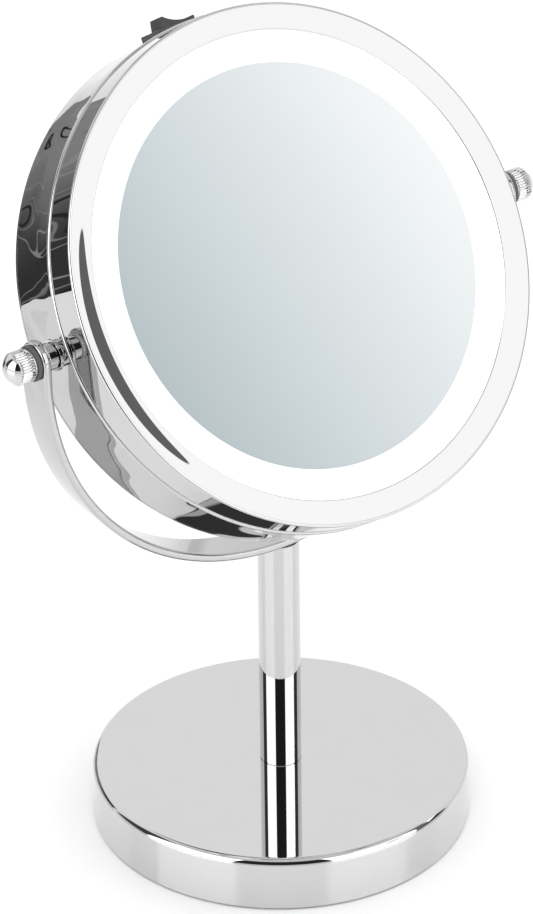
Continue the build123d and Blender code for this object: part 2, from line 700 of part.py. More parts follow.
# coil springs at the cells' minus ends
SPRING_PITCH = (SPRING_H - 2 * SPRING_WIRE_R) / SPRING_TURNS
with BuildPart() as battery_springs:
    for index in range(CELLS):
        start = cell_plane(index, -SPRING_H + SPRING_WIRE_R)
        coil = start.location * Helix(SPRING_PITCH, SPRING_H - 2 * SPRING_WIRE_R, SPRING_R)
        with BuildSketch(Plane(origin=coil @ 0, z_dir=coil % 0)):
            Circle(SPRING_WIRE_R)
        sweep(path=coil, is_frenet=True)
battery_springs.part.label = "battery_springs"
export_step(battery_springs.part, "parts/battery_springs.step")

# contact plates: (side, middle, width) across the cells, the end pair with lugs
CONTACTS = (
    (-1, -LUG_Y, CONTACT_L),
    (-1, 0, CONTACT_L + CELL_PITCH),
    (-1, LUG_Y, CONTACT_L),
    (1, -CELL_PITCH, CONTACT_L + CELL_PITCH),
    (1, CELL_PITCH, CONTACT_L + CELL_PITCH),
)
with BuildPart() as battery_contacts:
    for side, across, width in CONTACTS:
        face_x = side * TRAY_INSIDE_X
        with BuildSketch(
            Plane(origin=head_point(face_x, across, CELL_Z), x_dir=HEAD.y_dir, z_dir=(-side, 0, 0))
        ):
            Rectangle(width, CONTACT_W)
        extrude(amount=CONTACT_T)
    for across in (-LUG_Y, LUG_Y):
        lug_face = Plane(
            origin=head_point(-TRAY_INSIDE_X, across, SLOT_Z), x_dir=HEAD.y_dir, z_dir=(-1, 0, 0)
        )
        with BuildSketch(lug_face):
            Rectangle(LUG_W, LUG_T)
        extrude(amount=LUG_L)
battery_contacts.part.label = "battery_contacts"
export_step(battery_contacts.part, "parts/battery_contacts.step")

# ================================================================== head: switch

SWITCH = Plane(origin=head_point(0, HEAD_R, SWITCH_Z), x_dir=(1, 0, 0), z_dir=HEAD.y_dir)
ROCKER_ORIGIN = head_point(0, ROCKER_AXIS_R, SWITCH_Z)
ROCKER_LEVEL = Plane(origin=ROCKER_ORIGIN, x_dir=(1, 0, 0), z_dir=FORWARD)
ROCKER_REST = Plane(
    origin=ROCKER_ORIGIN,
    x_dir=HEAD.x_dir * cos(radians(ROCKER_TILT)) - HEAD.y_dir * sin(radians(ROCKER_TILT)),
    z_dir=FORWARD,
)

with BuildPart() as switch_body:
    with BuildSketch(SWITCH.offset(-OVERRUN)):
        RectangleRounded(SWITCH_FLANGE_L, SWITCH_FLANGE_W, SWITCH_CORNER_R)
    extrude(amount=OVERRUN + SWITCH_FLANGE_H)
    fillet(switch_body.faces().sort_by(Axis(PIVOT, HEAD.y_dir))[-1].edges(), SOFT_EDGE_R)
    with BuildSketch(HEAD.offset(REAR_RING_Z)):
        Circle(HEAD_R)
    extrude(amount=FACE_Z - REAR_RING_Z, mode=Mode.SUBTRACT)
    with BuildSketch(SWITCH.offset(-SWITCH_BODY_H)):
        Rectangle(SWITCH_BODY_L, SWITCH_BODY_W)
    extrude(amount=SWITCH_BODY_H + SWITCH_FLANGE_H / 3)
    with BuildSketch(SWITCH.offset(-SWITCH_CAVITY_H)):
        Rectangle(SWITCH_CAVITY_L, ROCKER_W + 4 * FIT)
    extrude(amount=SWITCH_CAVITY_H + 2 * SWITCH_FLANGE_H, mode=Mode.SUBTRACT)
    with BuildSketch(ROCKER_LEVEL):
        Circle(ROCKER_PIN_R + FIT)
    extrude(amount=ROCKER_PIN_L / 2 + FIT, both=True, mode=Mode.SUBTRACT)
switch_body.part.label = "switch_body"
export_step(switch_body.part, "parts/switch_body.step")

with BuildPart() as switch_terminals:
    with BuildSketch(SWITCH.offset(-SWITCH_BODY_H)):
        with Locations((-TERMINAL_X, 0), (TERMINAL_X, 0)):
            Rectangle(TERMINAL_T, TERMINAL_W)
    extrude(amount=-TERMINAL_L)
switch_terminals.part.label = "switch_terminals"
export_step(switch_terminals.part, "parts/switch_terminals.step")

# rocker: dished top, round belly and two pins, resting with its right end pressed
with BuildPart() as switch_rocker:
    with BuildSketch(ROCKER_REST) as rocker_profile:
        with BuildLine():
            ThreePointArc(
                (-ROCKER_L / 2, ROCKER_HIGH), (0, ROCKER_LOW), (ROCKER_L / 2, ROCKER_HIGH)
            )
            Line((ROCKER_L / 2, ROCKER_HIGH), (ROCKER_L / 2, 0))
            ThreePointArc((ROCKER_L / 2, 0), (0, -ROCKER_L / 2), (-ROCKER_L / 2, 0))
            Line((-ROCKER_L / 2, 0), (-ROCKER_L / 2, ROCKER_HIGH))
        make_face()
        fillet(rocker_profile.vertices().group_by(Axis.Y)[-1], SOFT_EDGE_R)
    extrude(amount=ROCKER_W / 2, both=True)
    with BuildSketch(ROCKER_REST):
        Circle(ROCKER_PIN_R)
    extrude(amount=ROCKER_PIN_L / 2, both=True)
switch_rocker.part.label = "switch_rocker"
export_step(switch_rocker.part, "parts/switch_rocker.step")

# ================================================================== head: wires

LUG_X = -TRAY_INSIDE_X - LUG_L
WIRE_ROUTES = {
    "wire_battery_to_switch": (
        (LUG_X, LUG_Y, SLOT_Z),
        (LUG_X - 5, LUG_Y, SLOT_Z),
        (LUG_X - 8, 26, -2),
        (LUG_X - 5, 40, -4),
        (-22, 52, -6),
        (-10, 59, -7),
        (-TERMINAL_X, 64, SWITCH_Z),
        (-TERMINAL_X, TERMINAL_END_R, SWITCH_Z),
    ),
    "wire_switch_to_lights": (
        (TERMINAL_X, TERMINAL_END_R, SWITCH_Z),
        (TERMINAL_X, 64.5, SWITCH_Z),
        (-1, 58.5, -6),
        (-7.5, 57.5, -3.5),
        (-11.5, 62.5, -0.8),
        (-11, 69, 0.6),
        (-11, WIRE_HOLE[1], 3),
        (-11, WIRE_HOLE[1], CHASSIS_Z),
    ),
    "wire_battery_to_lights": (
        (LUG_X, -LUG_Y, SLOT_Z),
        (LUG_X - 5, -LUG_Y, SLOT_Z),
        (LUG_X - 11, -8, -1.2),
        (LUG_X - 13, 8, -1),
        (LUG_X - 12, 26, -0.8),
        (-36, 44, -1),
        (-26, 58, -0.8),
        (-16.5, 66, -0.4),
        (-13.2, 70, 1),
        (-13, WIRE_HOLE[1], 3),
        (-13, WIRE_HOLE[1], CHASSIS_Z),
    ),
}
for wire_name, route in WIRE_ROUTES.items():
    with BuildPart() as wire:
        with BuildLine(HEAD) as path:
            FilletPolyline(*route, radius=bend_radii(route))
        with BuildSketch(Plane(origin=path.line @ 0, z_dir=path.line % 0)):
            Circle(WIRE_R)
        sweep()
    wire.part.label = wire_name
    export_step(wire.part, f"parts/{wire_name}.step")

# ================================================================== head: pivot hardware

with BuildPart() as stud_plates:
    with BuildSketch(HEAD):
        with Locations((-HOUSING_BORE, 0), (HOUSING_BORE, 0)):
            Rectangle(4 * PLATE_T, PLATE_L)
        Circle(HOUSING_BORE, mode=Mode.INTERSECT)
        Circle(PLATE_R, mode=Mode.SUBTRACT)
    extrude(amount=SEAM_Z - 4 * FIT, both=True)
    with BuildSketch(Plane.YZ):
        with Locations((0, PIVOT_Z)):
            Circle(STUD_R)
    extrude(amount=HEAD_R, both=True, mode=Mode.SUBTRACT)
stud_plates.part.label = "stud_plates"
export_step(stud_plates.part, "parts/stud_plates.step")

with BuildPart() as stud_nuts:
    for side in SIDES:
        with BuildSketch(arm_plane(side, NUT_X)):
            RegularPolygon(NUT_ACROSS / 2, 6, major_radius=False)
            Circle(STUD_R, mode=Mode.SUBTRACT)
        extrude(amount=NUT_H)
stud_nuts.part.label = "stud_nuts"
export_step(stud_nuts.part, "parts/stud_nuts.step")

with BuildPart() as pivot_studs:
    for side in SIDES:
        with BuildSketch(arm_plane(side, STUD_INNER_X)):
            Circle(STUD_R)
        extrude(amount=STUD_END_X - STUD_INNER_X)
pivot_studs.part.label = "pivot_studs"
export_step(pivot_studs.part, "parts/pivot_studs.step")

# ringed spacers between the housing and the yoke, seated on the housing's round wall
groove_in, ridge_in, ridge_out, groove_out = (HEAD_R + step for step in SPACER_STEPS)
SPACER_OUTLINE = (
    (HEAD_R - OVERRUN, STUD_R),
    (HEAD_R - OVERRUN, SPACER_R),
    (groove_in, SPACER_R),
    (groove_in, SPACER_GROOVE_R),
    (ridge_in, SPACER_GROOVE_R),
    (ridge_in, SPACER_RIDGE_R),
    (ridge_out, SPACER_RIDGE_R),
    (ridge_out, SPACER_GROOVE_R),
    (groove_out, SPACER_GROOVE_R),
    (groove_out, SPACER_R),
    (SPACER_END, SPACER_R),
    (SPACER_END, STUD_R),
)
with BuildPart() as pivot_spacers:
    for side in SIDES:
        with BuildSketch(PIVOT_SECTION):
            with BuildLine():
                Polyline(*[(side * x, radius) for x, radius in SPACER_OUTLINE], close=True)
            make_face()
        revolve(axis=PIVOT_AXIS)
    with BuildSketch(HEAD.offset(REAR_Z)):
        Circle(HEAD_R)
    extrude(amount=FACE_Z - REAR_Z, mode=Mode.SUBTRACT)
pivot_spacers.part.label = "pivot_spacers"
export_step(pivot_spacers.part, "parts/pivot_spacers.step")

# ================================================================== clamping knobs

DOME_SINK = sqrt(DOME_R**2 - DOME_BASE_R**2)     # the dome's centre lies inside the drum
DOME_H = DOME_R - DOME_SINK
for side, side_name in ((-1, "left"), (1, "right")):
    with BuildPart() as knob_washer:
        with BuildSketch(arm_plane(side, KNOB_WASHER_X)):
            Circle(KNOB_WASHER_R)
            Circle(STUD_R + FIT, mode=Mode.SUBTRACT)
        extrude(amount=KNOB_WASHER_T)
        rims = knob_washer.edges().filter_by(GeomType.CIRCLE).group_by(SortBy.RADIUS)[-1]
        fillet(rims, KNOB_WASHER_EDGE_R)
    knob_washer.part.label = f"knob_washer_{side_name}"
    export_step(knob_washer.part, f"parts/knob_washer_{side_name}.step")

    with BuildPart() as knob:
        with BuildSketch(arm_plane(side, KNOB_X)):
            Circle(KNOB_R - SHOULDER_DEPTH)
        extrude(amount=SHOULDER_H)
        with BuildSketch(arm_plane(side, KNOB_X + SHOULDER_H)):
            Circle(KNOB_R)
            with PolarLocations(KNOB_R, KNURLS):
                Circle(KNURL_R, mode=Mode.SUBTRACT)
        extrude(amount=KNOB_END - KNOB_X - SHOULDER_H)
        with BuildSketch(PIVOT_SECTION):
            with BuildLine():
                ThreePointArc(
                    (side * KNOB_END, DOME_BASE_R),
                    (
                        side * (KNOB_END - DOME_SINK + DOME_R * cos(radians(30))),
                        DOME_R * sin(radians(30)),
                    ),
                    (side * (KNOB_END + DOME_H), 0),
                )
                Polyline(
                    (side * (KNOB_END + DOME_H), 0),
                    (side * (KNOB_END - 4 * FIT), 0),
                    (side * (KNOB_END - 4 * FIT), DOME_BASE_R),
                    (side * KNOB_END, DOME_BASE_R),
                )
            make_face()
        revolve(axis=PIVOT_AXIS)
        with BuildSketch(arm_plane(side, KNOB_X)):
            Circle(STUD_R + FIT)
        extrude(amount=STUD_END_X + 2 * FIT - KNOB_X, mode=Mode.SUBTRACT)
    knob.part.label = f"knob_{side_name}"
    export_step(knob.part, f"parts/knob_{side_name}.step")

# ================================================================== rear cover

with BuildPart() as rear_ring:
    with BuildSketch(HEAD_SECTION):
        with Locations((REAR_INNER_R, REAR_Z)):
            Rectangle(HEAD_R - REAR_INNER_R, REAR_RING_Z - REAR_Z, align=(Align.MIN, Align.MIN))
        with Locations((COVER_SKIRT_INNER_R, REAR_RING_Z)):
            Rectangle(
                COVER_SKIRT_R - COVER_SKIRT_INNER_R,
                COVER_SKIRT_Z - REAR_RING_Z,
                align=(Align.MIN, Align.MIN),
            )
    revolve(axis=HEAD_AXIS)
    back_edges = rear_ring.faces().sort_by(HEAD_AXIS)[0].edges().sort_by(SortBy.RADIUS)
    fillet(back_edges[-1], REAR_EDGE_R)
    fillet(rear_ring.faces().sort_by(HEAD_AXIS)[0].edges().sort_by(SortBy.RADIUS)[0], SOFT_EDGE_R)
    with BuildSketch(HEAD.offset(REAR_RING_Z - PRY_H)):
        with Locations((0, -HEAD_R)):
            Rectangle(PRY_W, 2 * PRY_DEPTH)
    extrude(amount=PRY_H, mode=Mode.SUBTRACT)
rear_ring.part.label = "rear_ring"
export_step(rear_ring.part, "parts/rear_ring.step")

rear_glass_outline = dished_profile(0, REAR_GLASS_T, REAR_GLASS_R)
with BuildPart() as rear_mirror:
    with BuildSketch(HEAD_SECTION):
        add(rear_glass_outline.line)
        make_face()
    revolve(axis=HEAD_AXIS)
rear_mirror.part.label = "rear_mirror"
export_step(rear_mirror.part, "parts/rear_mirror.step")

carrier_outline = dished_profile(REAR_GLASS_T, REAR_GLASS_T + CARRIER_T, REAR_GLASS_R)
with BuildPart() as rear_carrier:
    with BuildSketch(HEAD_SECTION):
        add(carrier_outline.line)
        make_face()
        with Locations((COVER_SKIRT_INNER_R, rear_glass_z(REAR_GLASS_R) + REAR_GLASS_T)):
            Rectangle(COVER_SKIRT_INNER_R - REAR_GLASS_R, CARRIER_T, align=(Align.MAX, Align.MIN))
    revolve(axis=HEAD_AXIS)
rear_carrier.part.label = "rear_carrier"
export_step(rear_carrier.part, "parts/rear_carrier.step")
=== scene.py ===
"""Lighted vanity mirror: the looks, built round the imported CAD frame. Metres, +Z up, the mirror faces -Y."""

import json
from math import asin, atan2, cos, pi, radians, sin, sqrt, tan

import bmesh
import bpy
from mathutils import Matrix, Vector


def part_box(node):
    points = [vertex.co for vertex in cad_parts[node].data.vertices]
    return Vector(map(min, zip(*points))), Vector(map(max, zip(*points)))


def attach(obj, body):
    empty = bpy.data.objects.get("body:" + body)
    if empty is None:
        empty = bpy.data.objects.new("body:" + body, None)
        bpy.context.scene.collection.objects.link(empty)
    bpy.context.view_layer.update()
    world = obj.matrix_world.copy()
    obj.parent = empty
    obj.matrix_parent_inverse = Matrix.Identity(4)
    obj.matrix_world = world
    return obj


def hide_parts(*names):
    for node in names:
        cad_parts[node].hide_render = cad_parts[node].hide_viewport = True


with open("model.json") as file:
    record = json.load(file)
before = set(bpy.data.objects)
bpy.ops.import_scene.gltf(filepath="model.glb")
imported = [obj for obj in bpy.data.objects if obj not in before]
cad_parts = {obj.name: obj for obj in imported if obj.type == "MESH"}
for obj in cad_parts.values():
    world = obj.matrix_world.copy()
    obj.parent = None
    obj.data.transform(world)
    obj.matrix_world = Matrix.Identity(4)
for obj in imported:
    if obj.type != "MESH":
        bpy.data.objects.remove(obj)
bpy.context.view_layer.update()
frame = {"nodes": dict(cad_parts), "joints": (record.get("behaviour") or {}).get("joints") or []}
scene = bpy.context.scene
MM = 0.001

# ------------------------------------------------------------------ places taken from the frame
JOINTS = {joint["name"]: joint for joint in frame["joints"]}
PIVOT = Vector(JOINTS["head_tilt"]["pos_m"])
FORWARD = -Vector(JOINTS["rear_cover_pull"]["axis"]).normalized()
ACROSS = Vector((1, 0, 0))
UPWARD = FORWARD.cross(ACROSS)

HEAD = Matrix((ACROSS, UPWARD, FORWARD)).transposed().to_4x4()
HEAD.translation = PIVOT
WORLD = Matrix.Identity(4)


def side_frame(side):
    """Frame whose Z runs outward along the pivot axis, on the left (-1) or the right (1)."""
    outward = Vector((side, 0, 0))
    upright = Vector((0, 0, 1))
    place = Matrix((upright, outward.cross(upright), outward)).transposed().to_4x4()
    place.translation = PIVOT
    return place


def head_span(node):
    """Lowest and highest height of a CAD node along the head's axis, in mm."""
    heights = [(Vector(v.co) - PIVOT).dot(FORWARD) / MM for v in frame["nodes"][node].data.vertices]
    return min(heights), max(heights)


def head_radius(node):
    """Greatest distance of a CAD node from the head's axis, in mm."""
    away = [Vector(v.co) - PIVOT for v in frame["nodes"][node].data.vertices]
    return max((p - FORWARD * p.dot(FORWARD)).length for p in away) / MM


def size_mm(node):
    """Lengths of a CAD node's box, in mm."""
    low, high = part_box(node)
    return [(b - a) / MM for a, b in zip(low, high)]


# ------------------------------------------------------------------ shader helpers
class Nodes:
    """Short calls for building one node tree."""

    def __init__(self, tree):
        self.tree = tree
        tree.nodes.clear()

    def add(self, kind, inputs=(), **settings):
        node = self.tree.nodes.new(kind)
        for key, value in settings.items():
            setattr(node, key, value)
        for key, value in dict(inputs).items():
            self.feed(node.inputs[key], value)
        return node

    def feed(self, socket, value):
        if isinstance(value, bpy.types.NodeSocket):
            self.tree.links.new(value, socket)
        else:
            socket.default_value = value

    def math(self, operation, a, b=0.0, clamp=False):
        return self.add("ShaderNodeMath", {0: a, 1: b}, operation=operation, use_clamp=clamp).outputs[0]

    def dot(self, a, b):
        return self.add("ShaderNodeVectorMath", {0: a, 1: b}, operation="DOT_PRODUCT").outputs["Value"]

    def span(self, value, low, high, to_low=0.0, to_high=1.0, smooth=True):
        kind = "SMOOTHSTEP" if smooth else "LINEAR"
        inputs = {"Value": value, "From Min": low, "From Max": high, "To Min": to_low, "To Max": to_high}
        return self.add("ShaderNodeMapRange", inputs, interpolation_type=kind).outputs["Result"]

    def between(self, value, low, high, soft):
        """1 inside low..high, 0 outside, with soft edges."""
        rise = self.span(value, low - soft, low + soft)
        fall = self.span(value, high - soft, high + soft)
        return self.math("SUBTRACT", rise, fall, clamp=True)

    def mix(self, factor, a, b):
        return self.add(
            "ShaderNodeMix", {"Factor": factor, "A": a, "B": b}, data_type="FLOAT"
        ).outputs["Result"]

    def colour(self, factor, a, b):
        node = self.add("ShaderNodeMix", {"Factor": factor}, data_type="RGBA")
        self.feed(node.inputs[6], a)
        self.feed(node.inputs[7], b)
        return node.outputs[2]

    def noise(self, where, scale, detail=2.0, roughness=0.5):
        inputs = {"Vector": where, "Scale": scale, "Detail": detail, "Roughness": roughness}
        return self.add("ShaderNodeTexNoise", inputs).outputs["Fac"]


def rgba(colour, gain=1.0):
    return (colour[0] * gain, colour[1] * gain, colour[2] * gain, 1.0)


def grey(level):
    return rgba((level, level, level))


def new_material(name):
    made = bpy.data.materials.new(name)
    made.use_nodes = True
    return made, Nodes(made.node_tree)


def surface(nodes, bumps=(), **inputs):
    """Principled surface with stacked bumps, each (height, distance in m, strength)."""
    normal = None
    for height, distance, strength in bumps:
        bump = nodes.add("ShaderNodeBump", {"Height": height, "Distance": distance, "Strength": strength})
        if normal is not None:
            nodes.feed(bump.inputs["Normal"], normal)
        normal = bump.outputs["Normal"]
    shader = nodes.add("ShaderNodeBsdfPrincipled", {key.replace("_", " "): v for key, v in inputs.items()})
    if normal is not None:
        nodes.feed(shader.inputs["Normal"], normal)
    nodes.add("ShaderNodeOutputMaterial", {"Surface": shader.outputs["BSDF"]})
    return shader


# a noise texture's values lie mostly in these ranges, which roughness follows
NOISE_RANGE = (0.3, 0.7)
SMUDGE_RANGE = (0.35, 0.75)
WIPE_RANGE = (0.4, 0.8)
WHITE = (1.0, 1.0, 1.0, 1.0)

HAIR_STRETCH = (900.0, 60.0, 60.0)
HAIR_DEPTH = 0.000002       # m
HAIR_STRENGTH = 0.05
POLISH = 0.004              # roughness of clean plating
SMUDGE_HAZE = 0.01          # roughness that a smudge adds to the haze
SMUDGE_DARK = 0.985
SMUDGE_LIGHT = 1.01
SMUDGE_BLUE = 1.004


def chrome(name, tone, waves=None, haze=0.012):
    """Bright plating: smudges, hairline scratches and, on pressed metal, waves as (depth in m, scale)."""
    made, nodes = new_material(name)
    where = nodes.add("ShaderNodeTexCoord").outputs["Object"]
    smudge = nodes.noise(where, scale=70.0, detail=4.0, roughness=0.6)
    hair = nodes.add("ShaderNodeMapping", {"Vector": where, "Scale": HAIR_STRETCH}).outputs["Vector"]
    scratch = nodes.noise(hair, scale=1.0)
    bumps = [(scratch, HAIR_DEPTH, HAIR_STRENGTH)]
    if waves:
        depth, scale = waves
        bumps.append((nodes.noise(where, scale, detail=1.0), depth, 1.0))
    dark = rgba((tone, tone, tone), SMUDGE_DARK)
    light = rgba((tone, tone, tone * SMUDGE_BLUE), SMUDGE_LIGHT)
    surface(
        nodes,
        bumps,
        Base_Color=nodes.colour(smudge, dark, light),
        Metallic=1.0,
        Roughness=nodes.span(smudge, *SMUDGE_RANGE, POLISH, haze + SMUDGE_HAZE),
    )
    return made


WIPE_STRETCH = (8.0, 30.0, 30.0)
WIPE_DARK = 0.992
WIPE_LIGHT = 1.006


def silvered(name, tint, haze=0.004):
    """Silvered glass: a cool tint and faint wipe marks."""
    made, nodes = new_material(name)
    where = nodes.add("ShaderNodeTexCoord").outputs["Object"]
    wiped = nodes.add("ShaderNodeMapping", {"Vector": where, "Scale": WIPE_STRETCH}).outputs["Vector"]
    marks = nodes.noise(wiped, scale=2.0, detail=3.0)
    surface(
        nodes,
        Base_Color=nodes.colour(marks, rgba(tint, WIPE_DARK), rgba(tint, WIPE_LIGHT)),
        Metallic=1.0,
        Roughness=nodes.span(marks, *WIPE_RANGE, 0.0, haze),
        Coat_Weight=0.15,
        Coat_Roughness=0.01,
    )
    return made


GRAIN_STRENGTH = 0.6


def grained(name, tone, metallic=0.0, rough=(0.4, 0.6), grain=900.0, depth=0.00004, drift=0.06, **more):
    """Moulded, cast, rolled or foamed surface: fine grain (depth in m), colour drift and uneven gloss."""
    made, nodes = new_material(name)
    where = nodes.add("ShaderNodeTexCoord").outputs["Object"]
    slow = nodes.noise(where, scale=60.0, detail=3.0)
    fine = nodes.noise(where, grain, detail=3.0, roughness=0.6)
    surface(
        nodes,
        [(fine, depth, GRAIN_STRENGTH)],
        Base_Color=nodes.colour(slow, rgba(tone, 1 - drift), rgba(tone, 1 + drift)),
        Metallic=metallic,
        Roughness=nodes.span(fine, *NOISE_RANGE, *rough),
        **more,
    )
    return made


TOOL_DEPTH = 0.00001        # m
TOOL_STRENGTH = 0.5
TURNED_DARK = 0.9
TURNED_LIGHT = 1.06


def turned(name, tone, pitch, rough=(0.22, 0.4)):
    """Plated or turned metal with fine tool lines a pitch apart, in m."""
    made, nodes = new_material(name)
    where = nodes.add("ShaderNodeTexCoord").outputs["Object"]
    wave = nodes.add(
        "ShaderNodeTexWave",
        {"Vector": where, "Scale": 1.0 / pitch, "Distortion": 1.5, "Detail": 2.0},
        wave_type="BANDS",
        bands_direction="DIAGONAL",
    ).outputs["Fac"]
    slow = nodes.noise(where, scale=140.0, detail=3.0)
    surface(
        nodes,
        [(wave, TOOL_DEPTH, TOOL_STRENGTH)],
        Base_Color=nodes.colour(slow, rgba(tone, TURNED_DARK), rgba(tone, TURNED_LIGHT)),
        Metallic=1.0,
        Roughness=nodes.span(slow, *NOISE_RANGE, *rough),
    )
    return made


LAMPS = 30
LAMP_GLOW = (1.5, 1.75)     # between lamps and over them
FROST_GLOW = 0.08
FROST_DEPTH = 0.00002       # m
FROST_STRENGTH = 0.4
FROST_ROUGH = (0.35, 0.5)
ACRYLIC_TONE = 0.93


def lit_ring(name):
    """Frosted acrylic lit from behind, a little brighter over each lamp."""
    made, nodes = new_material(name)
    where = nodes.add("ShaderNodeTexCoord").outputs["Object"]
    centred = nodes.add("ShaderNodeVectorMath", {0: where, 1: PIVOT}, operation="SUBTRACT").outputs[0]
    angle = nodes.math("ARCTAN2", nodes.dot(centred, UPWARD), nodes.dot(centred, ACROSS))
    lamps = nodes.math("COSINE", nodes.math("MULTIPLY", angle, float(LAMPS)))
    frost = nodes.noise(where, scale=1500.0)
    over_lamps = nodes.span(lamps, -1.0, 1.0, *LAMP_GLOW)
    glow = nodes.math("ADD", over_lamps, nodes.span(frost, *NOISE_RANGE, 0.0, FROST_GLOW))
    surface(
        nodes,
        [(frost, FROST_DEPTH, FROST_STRENGTH)],
        Base_Color=grey(ACRYLIC_TONE),
        Roughness=nodes.span(frost, *NOISE_RANGE, *FROST_ROUGH),
        Emission_Color=WHITE,
        Emission_Strength=glow,
    )
    return made


# ------------------------------------------------------------------ mesh helpers
SUPPORT = 0.05              # a fillet's neighbours stay flat beyond this, in mm
ON_AXIS = 1e-6              # a profile point nearer to the axis than this is on it, in mm
CUT_SHARP = 35.0            # edges sharper than this stay sharp after a cut, in degrees


def arc_corner(before, here, after, radius, steps):
    """Points of a fillet between two straight runs of a profile, with one more on each run."""
    into = (Vector(before) - Vector(here)).normalized()
    out = (Vector(after) - Vector(here)).normalized()
    half = into.angle(out) / 2
    reach = radius / abs(tan(half))
    start = Vector(here) + into * reach
    centre = Vector(here) + (into + out).normalized() * (radius / sin(half))
    end = Vector(here) + out * reach
    first = start - centre
    last = end - centre
    turn = first.angle_signed(last)
    made = [tuple(start + into * SUPPORT)]
    for step in range(steps + 1):
        way = Matrix.Rotation(-turn * step / steps, 2) @ first
        made.append(tuple(centre + way))
    made.append(tuple(end + out * SUPPORT))
    return made


def rounded(points, steps=8):
    """Closed profile from (radius, height[, fillet]) corners."""
    made = []
    count = len(points)
    for index, corner in enumerate(points):
        fillet = corner[2] if len(corner) > 2 else 0
        if fillet:
            before = points[index - 1][:2]
            after = points[(index + 1) % count][:2]
            made += arc_corner(before, corner[:2], after, fillet, steps)
        else:
            made.append(corner[:2])
    return made


def finish_mesh(name, mesh_builder, place, material, sharp):
    """Puts a bmesh in place as a shaded piece; edges above sharp degrees stay sharp."""
    bmesh.ops.recalc_face_normals(mesh_builder, faces=mesh_builder.faces)
    mesh_builder.transform(place)
    mesh = bpy.data.meshes.new(name)
    mesh_builder.to_mesh(mesh)
    mesh_builder.free()
    mesh.shade_smooth()
    mesh.set_sharp_from_angle(angle=radians(sharp))
    piece = bpy.data.objects.new(name, mesh)
    scene.collection.objects.link(piece)
    mesh.materials.append(material)
    return piece


def lathe(name, profile, place, material, around=256, shape=None, sharp=32.0):
    """Closed (radius, height) profile in mm turned round Z; shape(r, z, angle) may move a point."""
    made = bmesh.new()
    rings = []
    for radius, height in profile:
        if radius <= ON_AXIS:
            rings.append([made.verts.new((0, 0, height * MM))])
            continue
        ring = []
        for index in range(around):
            angle = 2 * pi * index / around
            r, z = shape(radius, height, angle) if shape else (radius, height)
            ring.append(made.verts.new((r * MM * cos(angle), r * MM * sin(angle), z * MM)))
        rings.append(ring)
    for low, high in zip(rings, rings[1:] + rings[:1]):
        if len(low) == 1 and len(high) == 1:
            continue
        for index in range(around):
            after = (index + 1) % around
            corners = [low[index % len(low)], low[after % len(low)]]
            corners += [high[after % len(high)], high[index % len(high)]]
            made.faces.new(list(dict.fromkeys(corners)))
    return finish_mesh(name, made, place, material, sharp)


def stand_in(piece, body, slot, *nodes):
    """The piece rides on a body in place of CAD nodes."""
    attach(piece, body)
    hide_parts(*nodes)
    return piece


def cutter(name, shape, place):
    """A closed tool for a Boolean, kept out of the picture."""
    mesh = bpy.data.meshes.new(name)
    shape.transform(place)
    shape.to_mesh(mesh)
    shape.free()
    tool = bpy.data.objects.new(name, mesh)
    scene.collection.objects.link(tool)
    return tool


def block(width, length, height):
    """Box tool about the origin, in mm."""
    made = bmesh.new()
    bmesh.ops.create_cube(made, size=1.0)
    bmesh.ops.scale(made, vec=(width * MM, length * MM, height * MM), verts=made.verts)
    return made


def round_bar(radius, length, around=48):
    """Cylinder tool along Z about the origin, in mm."""
    made = bmesh.new()
    size = radius * MM
    bmesh.ops.create_cone(
        made, cap_ends=True, segments=around, radius1=size, radius2=size, depth=length * MM
    )
    return made


def cut(piece, tools):
    """Cuts the tools out of the piece and removes them."""
    for tool in tools:
        modifier = piece.modifiers.new("cut", "BOOLEAN")
        modifier.operation = "DIFFERENCE"
        modifier.solver = "EXACT"
        modifier.object = tool
    bpy.context.view_layer.update()
    solid = bpy.data.meshes.new_from_object(piece.evaluated_get(bpy.context.evaluated_depsgraph_get()))
    piece.modifiers.clear()
    solid.set_sharp_from_angle(angle=radians(CUT_SHARP))
    piece.data = solid
    for tool in tools:
        bpy.data.objects.remove(tool)


# ------------------------------------------------------------------ materials
# these chrome tones are one plating, made lighter or darker per part so that each part shows as bright as it
# looks lit: painted light and shade
CHROME_BASE = chrome("chrome_base", tone=0.66)
CHROME_STEM = chrome("chrome_stem", tone=0.61)
CHROME_YOKE = chrome("chrome_yoke", tone=0.53, waves=(0.00008, 25.0))
CHROME_WALL = chrome("chrome_wall", tone=0.54, waves=(0.002, 38.0))
CHROME_FACE = chrome("chrome_face", tone=0.6)
CHROME_SMALL = chrome("chrome_small", tone=0.66, haze=0.03)
GLASS = silvered("silvered_glass", (0.84, 0.895, 0.905))
REAR_GLASS = silvered("silvered_rear_glass", (0.84, 0.88, 0.89))
LIGHT = lit_ring("lit_acrylic")
SWITCH_GREY = grained("switch_grey", (0.05, 0.05, 0.053), rough=(0.32, 0.5), grain=1400.0)
WASHER_GREY = grained("washer_grey", (0.085, 0.085, 0.09), rough=(0.5, 0.7), grain=1800.0)
FOAM = grained("foam_black", (0.02, 0.02, 0.022), rough=(0.8, 0.95), grain=700.0, depth=0.0003)
TAPE = grained("tape_white", (0.7, 0.7, 0.7), rough=(0.8, 0.95), grain=700.0, depth=0.0002)
IRON = grained("cast_iron", (0.06, 0.06, 0.063), metallic=0.8, rough=(0.55, 0.8), grain=400.0, depth=0.0003)
WHITE_PLASTIC = grained("white_moulding", (0.8, 0.8, 0.79), rough=(0.35, 0.55), drift=0.03)
BLACK_PLASTIC = grained("black_moulding", (0.02, 0.02, 0.022), rough=(0.4, 0.6))
NYLON = grained("nylon", (0.68, 0.68, 0.65), rough=(0.4, 0.55), Subsurface_Weight=0.1)
BOARD = grained("white_board", (0.78, 0.8, 0.76), rough=(0.25, 0.4), drift=0.02)
